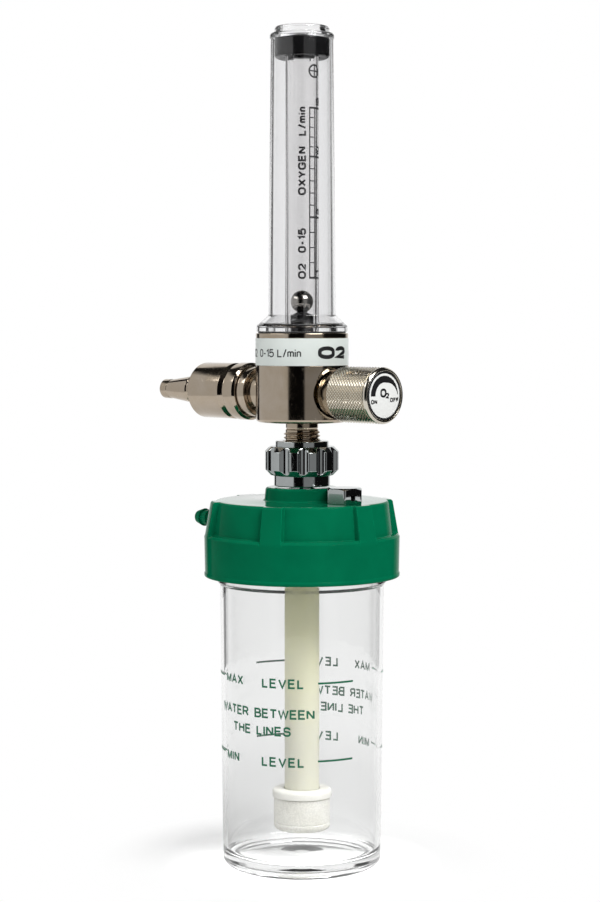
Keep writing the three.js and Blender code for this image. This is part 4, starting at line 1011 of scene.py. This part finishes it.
class FLOWMETER_OT_relief_valve(bpy.types.Operator):
    """Adds the chrome hexagon of the relief valve with its vent."""
    bl_idname = "flowmeter.relief_valve"
    bl_label = "Relief Valve"

    def execute(self, context):
        half_width, blunt, top, land = 6.5, 0.12, 148.0, 6.05
        reach = half_width / math.cos(math.pi / 6.0)
        flat = math.radians(-107.0)

        def row(height, inset=0.0, bevel=reach):
            """Gives a row round the hexagon, drawn in evenly or cut round by the bevel."""
            def point(angle):
                side = min(half_width / math.cos(nearest(angle, 0.0, math.pi / 3.0)), reach - blunt)
                return (min(side, bevel) - inset, height)
            return point

        rows = [(1.6, 135.6), (4.6, 135.6), (4.6, 142.05), row(142.05, 0.25), row(142.17, 0.06), row(142.35)]
        for k in range(9):
            bevel = reach - (reach - land) * k / 8.0
            rows.append(row(top - (bevel - land) * math.tan(math.radians(30.0)), bevel=bevel))
        rows += [(5.9, top), (0.0, top), (0.0, 146.4), (3.2, 146.4), (3.2, 137.6), (1.6, 137.6)]
        toward = Vector(spot_at(flat))
        vent = along(toward, RELIEF_SPOT + toward * 2.6 + Vector((0.0, 0.0, 144.7)))
        add_form("relief_hexagon", turned(rows, even_angles(144)), "Chrome Upright", "humidifier",
                 ("relief_housing",), upright(flat, RELIEF_SPOT), 20.0,
                 [(rod(0.9, 0.0, 7.0, 40), vent)])
        return {"FINISHED"}


class FLOWMETER_OT_coupling_nut(bpy.types.Operator):
    """Adds the fluted coupling nut with its two collars."""
    bl_idname = "flowmeter.coupling_nut"
    bl_label = "Coupling Nut"

    def execute(self, context):
        lobes, spacing, first_lobe, columns = 12, 30.0, -13.5, 30
        flute, flute_distance, soft = 2.1, 14.8, 0.25
        collar, bore = 10.9, 7.545

        def row(radius, height):
            """Gives a row that dips into the flutes, with a soft edge, where it is wider than the collar."""
            def point(angle):
                local = nearest(angle, math.radians(first_lobe), math.radians(spacing))
                across = flute_distance * math.sin(local)
                if radius <= collar or abs(across) >= flute:
                    return (radius, height)
                cut = flute_distance * math.cos(local) - math.sqrt(flute * flute - across * across)
                gap = radius - cut
                if gap > soft:
                    return (min(cut, radius), height)
                if gap < -soft:
                    return (radius, height)
                return (min(radius - (gap + soft) ** 2 / (4.0 * soft), radius), height)
            return point

        rows = [(5.6, 147.6), (10.55, 147.6), (collar, 147.95)]
        rows += rounded([(collar, 148.5), (collar, 151.6, 0.2), (10.95, 151.9), (collar, 151.9)], 3)[:-2]
        outline = rounded([(11.2, 151.9), (12.4, 151.9, 0.25), (14.4, 153.9, 0.5), (14.4, 161.0, 0.5),
                           (12.4, 163.0, 0.25), (10.35, 163.0)], 5)
        for a, b in zip(outline, outline[1:]):
            pieces = max(1, int(math.dist(a, b) / 0.45))
            rows += [row(a[0] + (b[0] - a[0]) * n / pieces, a[1] + (b[1] - a[1]) * n / pieces)
                     for n in range(pieces)]
        rows += rounded([(10.35, 163.0, 0.15), (10.35, 165.1, 0.45), (bore, 165.1, 0.3), (bore, 152.0),
                         (5.6, 152.0)], 5)
        angles = [math.radians(first_lobe + spacing * lobe + spacing * k / columns)
                  for lobe in range(lobes) for k in range(columns)]
        add_form("fluted_nut", turned(rows, angles), "Chrome Upright", "nut",
                 ("coupling_nut",), sharp=40.0)
        return {"FINISHED"}


class FLOWMETER_OT_outlet(bpy.types.Operator):
    """Adds the outlet fitting with its neck and screw thread."""
    bl_idname = "flowmeter.outlet"
    bl_label = "Outlet Fitting"

    def execute(self, context):
        pitch, root = 1.411, 6.4
        outline = rounded([(2.5, 157.8), (root, 157.8, 0.4), (root, 169.3, 0.2), (6.05, 169.7, 0.2),
                           (6.3, 170.2, 0.2), (6.3, 177.5, 0.3), (2.5, 177.5)], 3)
        shape = with_ridge(turned(outline, even_angles(96)), start=158.7, pitch=pitch, turns=7.0, root=root,
                           crest=7.145, root_width=0.9 * pitch, crest_width=0.14 * pitch, steps=72)
        add_form("outlet_thread", shape, "Nickel Plate", "flowmeter", ("outlet_fitting",))
        return {"FINISHED"}


class FLOWMETER_OT_valve_body(bpy.types.Operator):
    """Adds the plated valve body with its wells."""
    bl_idname = "flowmeter.valve_body"
    bl_label = "Valve Body"

    def execute(self, context):
        wall = 17.9
        corners = [(6.6, 172.3, 0.2), (wall, 172.3, 1.5), (wall, 194.2, 0.12), (17.65, 194.25),
                   (17.65, 204.75), (wall, 204.8, 0.12), (wall, 206.7, 0.45), (14.4, 206.7, 0.25),
                   (14.4, 200.7), (8.3, 200.7, 0.1), (8.3, 196.9), (2.4, 196.9), (2.4, 192.0), (0.0, 192.0),
                   (0.0, 178.6), (2.4, 177.6), (6.6, 177.6)]
        outside = 30.0
        wells = [(rod(radius, start, outside), place) for radius, start, place in (
            (9.4, 13.0, KNOB_PLACE), (5.2, 4.5, KNOB_PLACE),
            (8.3, 15.5, INLET_PLACE), (6.3, 9.5, INLET_PLACE))]
        add_form("plated_body", turned(rounded(corners, 5), even_angles(192)), "Nickel Plate", "flowmeter",
                 ("valve_body",), sharp=24.0, cutters=wells)
        return {"FINISHED"}


class FLOWMETER_OT_label(bpy.types.Operator):
    """Adds the label film with its generic print and the gasket above it."""
    bl_idname = "flowmeter.label"
    bl_label = "Label Band"

    def execute(self, context):
        add_turned("label_film", [(17.75, 194.3), (LABEL_RADIUS, 194.3, 0.06), (LABEL_RADIUS, 204.7, 0.06),
                                  (17.75, 204.7)],
                   "Label Film", "flowmeter", ("label_band",), sides=192, steps=3)
        forms = []
        for turn in (0.0, math.pi):
            small = letters("O2  0-15 L/min", 3.1, 0.15, 0.24)
            forms.append(wrap_form(small, LABEL_RADIUS, -45.0, 199.1, 0.5, turn))
            large = letters("O2", 4.8, 0.31, 0.4, narrow=1.7)
            forms.append(wrap_form(large, LABEL_RADIUS, 42.5, 199.3, 0.5, turn))
        add_print("label_print", forms, "Black Ink", "flowmeter")
        add_turned("flat_gasket", [(14.7, 206.75), (16.95, 206.75, 0.12), (16.95, 207.15, 0.12),
                                   (14.7, 207.15)],
                   "Sealing Rubber", "flowmeter", ("cover_gasket",), steps=3)
        return {"FINISHED"}


class FLOWMETER_OT_tube_cover(bpy.types.Operator):
    """Adds the clear tube cover with its flange, cone, bead and domed end."""
    bl_idname = "flowmeter.tube_cover"
    bl_label = "Tube Cover"

    def execute(self, context):
        corners = [(14.1, 201.6, 0.2), (14.1, 207.2), (17.55, 207.2, 0.25), (17.55, 209.4, 0.5),
                   (13.05, 213.5, 0.5), (12.0, 318.8, 0.2), (12.35, 319.4, 0.3), (12.35, 320.3, 0.3),
                   (12.0, 320.9, 0.2), (10.55, 320.9, 0.4), (10.5, 323.75, 1.1), (7.5, 323.75, 0.3),
                   (6.2, 322.95, 0.8), (0.0, 322.95), (0.0, 320.0), (10.95, 320.0, 0.4), (11.45, 213.1, 0.4),
                   (15.1, 209.7, 0.3), (14.6, 208.8, 0.3), (11.4, 208.8, 0.2), (11.4, 201.6, 0.2)]
        add_turned("clear_cover", corners, "Clear Cover", "flowmeter", ("tube_cover",),
                   sides=160, steps=6)
        return {"FINISHED"}


class FLOWMETER_OT_ball_tube(bpy.types.Operator):
    """Adds the clear ball tube, its seat, plug and ball."""
    bl_idname = "flowmeter.ball_tube"
    bl_label = "Ball Tube"

    def execute(self, context):
        corners = [(5.1, 199.3, 0.15), (BALL_TUBE_RADIUS, 199.3, 0.2), (BALL_TUBE_RADIUS, 314.8, 0.2),
                   (5.6, 314.8, 0.15)]
        notch = [(x, y, z) for z in (310.6, 316.0)
                 for x, y in ((-8.0, -1.2), (8.0, -1.2), (8.0, 1.2), (-8.0, 1.2))]
        sides = [(0, 1, 2, 3), (4, 5, 6, 7), (0, 1, 5, 4), (1, 2, 6, 5), (2, 3, 7, 6), (3, 0, 4, 7)]
        add_form("metering_tube", turned(rounded(corners, 4), even_angles(128)), "Clear Ball Tube",
                 "flowmeter", ("ball_tube",), sharp=28.0,
                 cutters=[((notch, sides), Matrix.Identity(4))])
        add_turned("ball_post", [(1.5, 197.0), (8.0, 197.0, 0.3), (8.0, 199.0, 0.3), (4.5, 199.0, 0.2),
                                 (4.5, 213.6, 0.4), (1.9, 215.0, 0.2), (1.5, 215.0, 0.1)],
                   "Black Plastic", "flowmeter", ("ball_seat",), sides=96)
        add_turned("black_plug", [(0.0, 311.4), (4.8, 311.4, 0.5), (5.3, 315.1, 0.1), (6.8, 315.1, 0.1),
                                  (6.8, 312.2, 0.2), (10.65, 312.2, 0.7), (10.65, 319.7, 0.7), (0.0, 319.7)],
                   "Black Plastic", "flowmeter", ("top_plug",), sides=128)
        radius, middle, rings = 4.365, 219.03, 32
        ball = [(radius * math.sin(math.pi * k / rings), middle - radius * math.cos(math.pi * k / rings))
                for k in range(rings + 1)]
        add_form("steel_ball", turned(ball, even_angles(64), loop=False), "Polished Steel", "float",
                 ("float_ball",), sharp=60.0)
        return {"FINISHED"}


class FLOWMETER_OT_scale_print(bpy.types.Operator):
    """Prints the flow scale on the ball tube."""
    bl_idname = "flowmeter.scale_print"
    bl_label = "Scale Print"

    def execute(self, context):
        letter = context.scene.flowmeter_sizes.scale_letter / MM
        low_end, high_end, thick, thin = 227.4, 292.9, 0.38, 0.21
        forms = []

        def wrap(form, degrees, height, pitch=0.3):
            forms.append(wrap_form(form, BALL_TUBE_RADIUS, degrees, height, pitch))

        def bar(first, last, low, high):
            width = math.radians(last - first) * BALL_TUBE_RADIUS
            wrap(bar_form(width, high - low), (first + last) / 2.0, (low + high) / 2.0, 0.35)

        # Litres a minute and the heights of their marks.
        marks = {15: 292.5, 10: 274.0, 5: 250.9, 1: 227.8}
        bar(24.0, 28.5, low_end, high_end)
        bar(45.0, 50.0, low_end, high_end)
        for value, height in marks.items():
            bar(24.0, 76.0, height - thick, height + thick)
            wrap(turn_form(letters(str(value), 2.7, 0.25, 0.3), 90.0), 65.0, height + 2.3)
        for low, high, count, reach in ((1, 5, 3, 50.0), (5, 10, 4, 50.0), (10, 15, 4, 42.0)):
            for k in range(1, count + 1):
                height = marks[low] + (marks[high] - marks[low]) * k / (count + 1)
                bar(25.0, reach, height - thin, height + thin)
        for text, height in (("OXYGEN  L/min", 276.0), ("O2  0-15", 237.0)):
            wrap(turn_form(letters(text, letter, 0.24, 0.34, 0.6), 90.0), 0.0, height)
        for form in (ring_form(2.0, 2.65), bar_form(5.0, 0.5), bar_form(0.5, 5.0)):
            wrap(form, 45.0, 306.5)
        add_print("scale_print", forms, "Black Ink", "flowmeter")
        return {"FINISHED"}


class FLOWMETER_OT_inlet(bpy.types.Operator):
    """Adds the inlet's adaptor, lock ring, sleeve and probe."""
    bl_idname = "flowmeter.inlet"
    bl_label = "Inlet"

    def execute(self, context):
        neck = [(3.0, 15.8), (8.0, 15.8, 0.2), (8.0, 22.4, 0.3), (7.4, 22.4), (7.4, 40.0, 0.4), (3.0, 40.0)]
        ring = [(7.7, 22.5), (9.9, 22.5, 0.4), (9.9, 26.7, 0.4), (7.7, 26.7)]
        sleeve = [(7.7, 27.0), (10.45, 27.0, 0.15), (11.35, 27.9, 0.25), (11.35, 32.9, 0.3), (9.8, 33.2, 0.3),
                  (9.8, 34.7, 0.3), (11.1, 36.3, 0.3), (11.1, 53.4, 0.5), (10.2, 54.4, 0.5), (6.1, 58.0, 0.3),
                  (5.8, 58.0, 0.1), (5.8, 46.0), (7.7, 46.0)]
        probe = [(1.7, 41.3), (7.4, 41.3, 0.2), (7.4, 45.7, 0.2), (5.5, 45.7, 0.2), (5.5, 60.1, 0.15),
                 (5.0, 60.6, 0.2), (5.0, 61.0, 0.2), (5.5, 61.5, 0.2), (3.8, 74.5, 0.2), (3.95, 74.7, 0.1),
                 (3.95, 78.2, 0.4), (3.05, 79.1, 0.3), (1.7, 79.1, 0.2)]
        for name, corners, slot, stands_for, sides in (
                ("inlet_neck", neck, "nickel", "inlet_adaptor", 112),
                ("lock_ring", ring, "bright_chrome", "inlet_lock_ring", 112),
                ("inlet_sleeve_shell", sleeve, "bright_chrome", "inlet_sleeve", 128),
                ("probe_stem", probe, "bright_chrome", "inlet_probe", 96)):
            add_turned(name, corners, "Nickel Inlet", "flowmeter", (stands_for,), INLET_PLACE, sides)
        return {"FINISHED"}


def knurled_shape(count, depth):
    """Gives the knob with its diamonds, closed by its front rim and face and by its back and bore."""
    crest = 10.64
    valley = crest - depth
    low_end, high_end = 23.2, 41.35
    rows = int(round((high_end - low_end) / (2.0 * math.pi * crest / count) * 2.0))
    pitch = (high_end - low_end) / rows
    half = math.pi / count
    # Half of a crest's flat top, as a share of half a pitch.
    top = 0.56
    vertices, faces = [], []
    index = {}

    def spot(i, j, radius):
        """Gives the vertex at column i (half pitches round) and row j (half pitches along)."""
        key = (round(i % (2.0 * count), 4), round(j, 4), round(radius, 4))
        if key not in index:
            index[key] = len(vertices)
            vertices.append(spot_at(i * half, radius, low_end + pitch * j))
        return index[key]

    def columns(j):
        """Gives the columns of row j that hold a diamond."""
        return [i for i in range(2 * count) if (i + j) % 2 == 0]

    def close_with(j, outline):
        """Closes the end at row j with an outline that runs to the axis."""
        ring = []
        for i in columns(j):
            ring += [(i - 1, spot(i - 1, j, valley)), (i - top, spot(i - top, j, crest)),
                     (i + top, spot(i + top, j, crest))]
        previous = [vertex for _, vertex in ring]
        for radius, distance in outline:
            first = len(vertices)
            if radius < 1e-6:
                vertices.append((0.0, 0.0, distance))
                faces.extend((previous[a], previous[(a + 1) % len(ring)], first) for a in range(len(ring)))
                return
            vertices.extend(spot_at(column * half, radius, distance) for column, _ in ring)
            current = range(first, len(vertices))
            faces.extend(faces_between(previous, current))
            previous = current

    for j in range(rows + 1):
        for i in columns(j):
            left, right = spot(i - 1, j, valley), spot(i + 1, j, valley)
            near, far = spot(i - top, j, crest), spot(i + top, j, crest)
            if j < rows:
                above, peak = spot(i, j + 1, valley), spot(i, j + top, crest)
                faces += [(left, near, peak, above), (right, above, peak, far), (near, far, peak)]
            if j > 0:
                below, peak = spot(i, j - 1, valley), spot(i, j - top, crest)
                faces += [(left, below, peak, near), (right, far, peak, below), (near, peak, far)]
    close_with(rows, rounded([
        (10.3, 41.35), (10.3, 41.6, 0.1), (10.62, 41.75, 0.12), (10.62, 42.5, 0.3), (9.95, 43.28, 0.25),
        (9.4, 43.28, 0.12), (9.4, 42.1, 0.1), (0.0, 42.1)], 4))
    close_with(0, rounded([
        (10.1, 23.2), (10.15, 22.95, 0.1), (8.0, 16.0, 0.3), (2.1, 16.0, 0.1), (2.1, 20.0), (0.0, 20.0)], 4))
    return vertices, faces


class FLOWMETER_OT_knob(bpy.types.Operator):
    """Adds the knurled control knob and its printed face."""
    bl_idname = "flowmeter.knob"
    bl_label = "Control Knob"

    def execute(self, context):
        sizes = context.scene.flowmeter_sizes
        add_form("knurled_knob", knurled_shape(sizes.knurl_count, sizes.knurl_depth / MM), "Nickel Knob",
                 "knob", ("control_knob",), KNOB_PLACE, 22.0)
        add_turned("face_disc", [(0.0, 42.2), (9.1, 42.2, 0.1), (9.1, 43.0, 0.2), (0.0, 43.0)],
                   "Face Disc", "knob", ("knob_face",), KNOB_PLACE, 96, steps=3)
        inner, outer = 4.95, 7.45
        forms = [ring_form(8.35, 9.08), ring_form(inner, outer, 181.0, 75.0),
                 ring_form(inner, outer, 75.0, 2.0, 7.33)]
        for text, height, weight, gap, across, up in (
                ("ON", 1.7, 0.26, 0.36, -5.7, -2.2), ("OFF", 1.7, 0.26, 0.36, 5.5, -1.7),
                ("O", 3.4, 0.24, 0.30, -0.6, 1.0), ("2", 2.1, 0.28, 0.30, 1.7, 0.0)):
            forms.append(shift_form(letters(text, height, weight, gap), across, up))
        face = Matrix.Translation(Vector((0.0, -43.01, SIDE_AXIS_HEIGHT)))
        add_print("face_print", forms, "Black Ink", "knob",
                  face @ Matrix.Rotation(math.pi / 2.0, 4, "X"))
        return {"FINISHED"}


class FLOWMETER_OT_dip_tube(bpy.types.Operator):
    """Adds the milky dip tube with the diffuser at its foot."""
    bl_idname = "flowmeter.dip_tube"
    bl_label = "Dip Tube and Diffuser"

    def execute(self, context):
        tube = [(4.85, 27.0, 0.2), (6.75, 27.0, 0.4), (6.75, 133.6, 0.3), (4.85, 133.6, 0.2)]
        drum = [(0.0, 13.9), (10.9, 13.9, 2.0), (10.9, 16.6, 0.1), (10.7, 16.9), (10.9, 17.2, 0.1),
                (10.9, 26.6, 0.3), (4.6, 26.6, 0.2), (4.6, 32.4, 0.5), (0.0, 32.4)]
        cap = [(7.05, 26.8), (11.5, 26.8, 0.25), (11.5, 30.1, 1.3), (7.05, 30.1, 0.3)]
        for name, corners, finish, slot, stands_for, sides in (
                ("milky_tube", tube, "Milky Tube", "tubing", "dip_tube", 96),
                ("porous_drum", drum, "Porous White", "white_plastic", "diffuser_stone", 112),
                ("drum_cap", cap, "Moulded Cap", "white_plastic", "diffuser_cap", 112)):
            add_turned(name, corners, finish, "humidifier", (stands_for,), sides=sides)
        return {"FINISHED"}


INNER_FINISHES = {
    "Sealing Rubber": ("tube_o_ring", "stem_o_ring", "inlet_seal_ring", "tailpiece_o_ring", "bottle_gasket",
                       "relief_poppet"),
    "Sintered Bronze": ("inlet_filter",),
    "Turned Brass": ("needle_seat", "valve_bonnet", "valve_stem"),
    "Polished Steel": ("knob_set_screw", "lock_washer"),
    "Chrome Upright": ("tailpiece", "lock_nut"),
}


class FLOWMETER_OT_inner_pieces(bpy.types.Operator):
    """Gives the pieces inside the object their finishes."""
    bl_idname = "flowmeter.inner_pieces"
    bl_label = "Inner Pieces"

    def execute(self, context):
        for finish, nodes in INNER_FINISHES.items():
            for node in nodes:
                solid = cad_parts[node]
                if not solid.material_slots:
                    raise RuntimeError("no material slot on " + node)
                for slot in solid.material_slots:
                    slot.material = finish_named(finish)
        return {"FINISHED"}


# ---------------------------------------------------------------- stage


def add_floor(colour):
    """Adds the pale floor, which fades into the white backdrop round the object."""
    radius, drop = 700.0, 0.0002
    shape = turned([(0.0, 0.0), (radius, 0.0)], even_angles(96), loop=False)
    floor = in_scene("floor", mesh_from("floor", shape))
    floor.location.z = -drop
    # The floor goes down with the bottle, whose foot would sink into it where the joints let it down.
    floor.parent = bpy.data.objects["clear_bottle"]
    finish, tree, shader, leave = new_finish("Pale Floor")
    skin = use_group(tree, "Moulded Skin", 300.0, 6.0)
    fill(tree, shader, {
        "Base Color": blend_colours(tree, skin["Flow"], full(colour), full(colour, 0.985)),
        "Roughness": 0.7,
        "Specular IOR Level": 0.1})
    path = tree.nodes.new("ShaderNodeLightPath").outputs
    where = object_coordinates(tree)
    reach = put(tree, "ShaderNodeVectorMath", {0: where}, operation="LENGTH").outputs["Value"]
    straight = path["Is Camera Ray"]
    through = calculate(tree, "MAXIMUM", path["Is Transmission Ray"], path["Is Glossy Ray"])
    seen = calculate(tree, "MAXIMUM", straight, through)
    # A floor that is seen gets a little light of its own, most of it under the bottle.
    glow = calculate(tree, "MULTIPLY", seen, spread(tree, reach, 0.02, 0.055, 0.5, 0.13))
    lift = put(tree, "ShaderNodeEmission", {"Color": WHITE, "Strength": glow})
    near = put(tree, "ShaderNodeAddShader", {0: shader.outputs[0], 1: lift.outputs[0]})
    # Farther out it turns white, sooner for the camera than through clear or shiny pieces.
    away = []
    for first, last, ray in ((0.034, 0.085, straight), (0.11, 0.4, through)):
        fade = put(tree, "ShaderNodeMapRange", {"Value": reach, "From Min": first, "From Max": last},
                   interpolation_type="SMOOTHSTEP").outputs["Result"]
        away.append(calculate(tree, "MULTIPLY", fade, ray))
    white = put(tree, "ShaderNodeEmission", {"Color": WHITE, "Strength": seen})
    both = put(tree, "ShaderNodeMixShader", {0: calculate(tree, "MAXIMUM", away[0], away[1]),
                                             1: near.outputs[0], 2: white.outputs[0]})
    fill(tree, leave, {"Surface": both.outputs[0]})
    floor.data.materials.append(finish)


def add_lamp(name, angle, elevation, distance, size, power):
    """Adds a soft lamp at an angle from the camera's side, aimed at the middle of the object."""
    lamp = bpy.data.lights.new(name, "AREA")
    lamp.shape = "RECTANGLE"
    lamp.size, lamp.size_y = size
    lamp.energy = power
    holder = in_scene(name, lamp)
    rise = math.radians(elevation)
    middle = Vector((0.0, 0.0, 0.14))
    way = spot_at(CAMERA_ANGLE + math.radians(angle), math.cos(rise), math.sin(rise))
    holder.location = middle + Vector(way) * distance
    holder.rotation_euler = (middle - holder.location).to_track_quat("-Z", "Y").to_euler()


def add_camera():
    """Adds the camera that takes the view of the photograph."""
    camera = bpy.data.cameras.new("camera")
    camera.lens = CAMERA_LENS
    camera.sensor_width = 36.0
    camera.clip_start = 0.05
    holder = in_scene("camera", camera)
    toward = Vector(spot_at(CAMERA_ANGLE))
    right = Vector((-toward.y, toward.x, 0.0))
    holder.location = toward * CAMERA_DISTANCE - right * CAMERA_LEFT + Vector((0.0, 0.0, CAMERA_HEIGHT))
    look = Vector((-toward.x, -toward.y, -math.tan(CAMERA_TILT)))
    holder.rotation_euler = look.to_track_quat("-Z", "Y").to_euler()
    bpy.context.scene.camera = holder


def grey_ramp(tree, factor, stops):
    """Gives the greys of a ramp whose stops are (position, level)."""
    node = put(tree, "ShaderNodeValToRGB", {0: factor})
    elements = node.color_ramp.elements
    while len(elements) < len(stops):
        elements.new(0.5)
    for k, (position, level) in enumerate(stops):
        elements[k].position = position
        elements[k].color = grey(level)
    return node.outputs[0]


# The studio round the object: angles in degrees from the camera's side, and how light it is there.
# It is white behind the object, with a wide soft light on one side of the camera, a narrower one
# on the other and dark gaps between them.
STUDIO_STOPS = (
    (-180.0, 1.0), (-151.5, 1.0), (-150.0, 0.01), (-135.0, 0.01), (-132.0, 0.74), (-36.0, 0.74),
    (-33.0, 0.004), (5.0, 0.004), (8.0, 0.34), (51.0, 0.34), (55.0, 0.008), (139.0, 0.008),
    (140.5, 0.5), (147.0, 0.5), (149.0, 1.0), (180.0, 1.0),
)
# Where the walls give way to a dark ceiling: how far up a direction points, from 0 for straight down
# to 1 for straight up.
CEILING_STOPS = ((0.80, 0.0), (0.83, 1.0))


def make_surroundings():
    """Gives the studio round the object."""
    world = bpy.data.worlds.new("Studio")
    bpy.context.scene.world = world
    world.use_nodes = True
    tree = world.node_tree
    tree.nodes.clear()
    way = tree.nodes.new("ShaderNodeTexCoord").outputs["Generated"]
    parts = put(tree, "ShaderNodeSeparateXYZ", {0: way}).outputs
    compass = calculate(tree, "ARCTAN2", parts["Y"], parts["X"])
    turned_by = calculate(tree, "SUBTRACT", compass, CAMERA_ANGLE - math.pi)
    whole = calculate(tree, "FRACT", calculate(tree, "DIVIDE", turned_by, 2.0 * math.pi))
    walls = grey_ramp(tree, whole, [((angle + 180.0) / 360.0, level) for angle, level in STUDIO_STOPS])
    high = grey_ramp(tree, spread(tree, parts["Z"], -1.0, 1.0), CEILING_STOPS)
    studio = blend_colours(tree, high, walls, grey(0.02))
    path = tree.nodes.new("ShaderNodeLightPath").outputs
    # The gaps beside the camera are for the plated pieces alone: seen through
    # a clear wall they would make it look smoked from the other sides.
    ahead = spread(tree, calculate(tree, "COSINE", turned_by), 0.42, 0.55, 1.0, 0.0)
    straight = spread(tree, path["Glossy Depth"], 0.0, 1.0, 1.0, 0.0)
    clear_side = calculate(tree, "MULTIPLY", path["Is Transmission Ray"],
                           calculate(tree, "MULTIPLY", straight, ahead))
    studio = blend_colours(tree, clear_side, studio, grey(0.78))
    shown = blend_colours(tree, path["Is Camera Ray"], studio, WHITE)
    light = put(tree, "ShaderNodeBackground", {"Color": shown, "Strength": 1.0})
    put(tree, "ShaderNodeOutputWorld", {"Surface": light.outputs[0]})


class FLOWMETER_OT_stage(bpy.types.Operator):
    """Adds the floor, the studio surroundings, the lamps and the camera."""
    bl_idname = "flowmeter.stage"
    bl_label = "Stage"

    def execute(self, context):
        stage = context.scene.flowmeter_stage
        add_floor(stage.floor)
        make_surroundings()
        add_lamp("key_lamp", 42.0, 50.0, 1.4, (0.75, 0.75), stage.key_power)
        add_lamp("fill_lamp", -75.0, 40.0, 1.6, (1.1, 0.5), stage.fill_power)
        add_camera()
        context.scene.view_settings.view_transform = "Standard"
        return {"FINISHED"}


PIECE_OPERATORS = (
    FLOWMETER_OT_bottle, FLOWMETER_OT_level_print, FLOWMETER_OT_dip_tube, FLOWMETER_OT_lid,
    FLOWMETER_OT_relief_valve, FLOWMETER_OT_relief_spring, FLOWMETER_OT_coupling_nut,
    FLOWMETER_OT_outlet, FLOWMETER_OT_valve_body, FLOWMETER_OT_label, FLOWMETER_OT_ball_tube,
    FLOWMETER_OT_scale_print, FLOWMETER_OT_tube_cover, FLOWMETER_OT_inlet, FLOWMETER_OT_knob,
    FLOWMETER_OT_inner_pieces, FLOWMETER_OT_stage,
)


class FLOWMETER_PT_pieces(bpy.types.Panel):
    """Lists the settings and the operators that build the object."""
    bl_idname = "FLOWMETER_PT_pieces"
    bl_label = "Flowmeter"
    bl_space_type = "VIEW_3D"
    bl_region_type = "UI"
    bl_category = "Flowmeter"

    def draw(self, context):
        layout = self.layout
        for group in (context.scene.flowmeter_sizes, context.scene.flowmeter_colours,
                      context.scene.flowmeter_stage):
            box = layout.box()
            for name in group.__annotations__:
                box.prop(group, name)
        for operator in PIECE_OPERATORS:
            layout.operator(operator.bl_idname)


CLASSES = (FlowmeterSizes, FlowmeterColours, FlowmeterStage) + PIECE_OPERATORS + (FLOWMETER_PT_pieces,)


def register():
    for kind in CLASSES:
        bpy.utils.register_class(kind)
    bpy.types.Scene.flowmeter_sizes = bpy.props.PointerProperty(type=FlowmeterSizes)
    bpy.types.Scene.flowmeter_colours = bpy.props.PointerProperty(type=FlowmeterColours)
    bpy.types.Scene.flowmeter_stage = bpy.props.PointerProperty(type=FlowmeterStage)


def unregister():
    del bpy.types.Scene.flowmeter_stage
    del bpy.types.Scene.flowmeter_colours
    del bpy.types.Scene.flowmeter_sizes
    for kind in reversed(CLASSES):
        bpy.utils.unregister_class(kind)


def main():
    """Builds every piece and the stage."""
    register()
    for operator in PIECE_OPERATORS:
        area, name = operator.bl_idname.split(".")
        getattr(getattr(bpy.ops, area), name)()


if __name__ == "__main__":
    main()
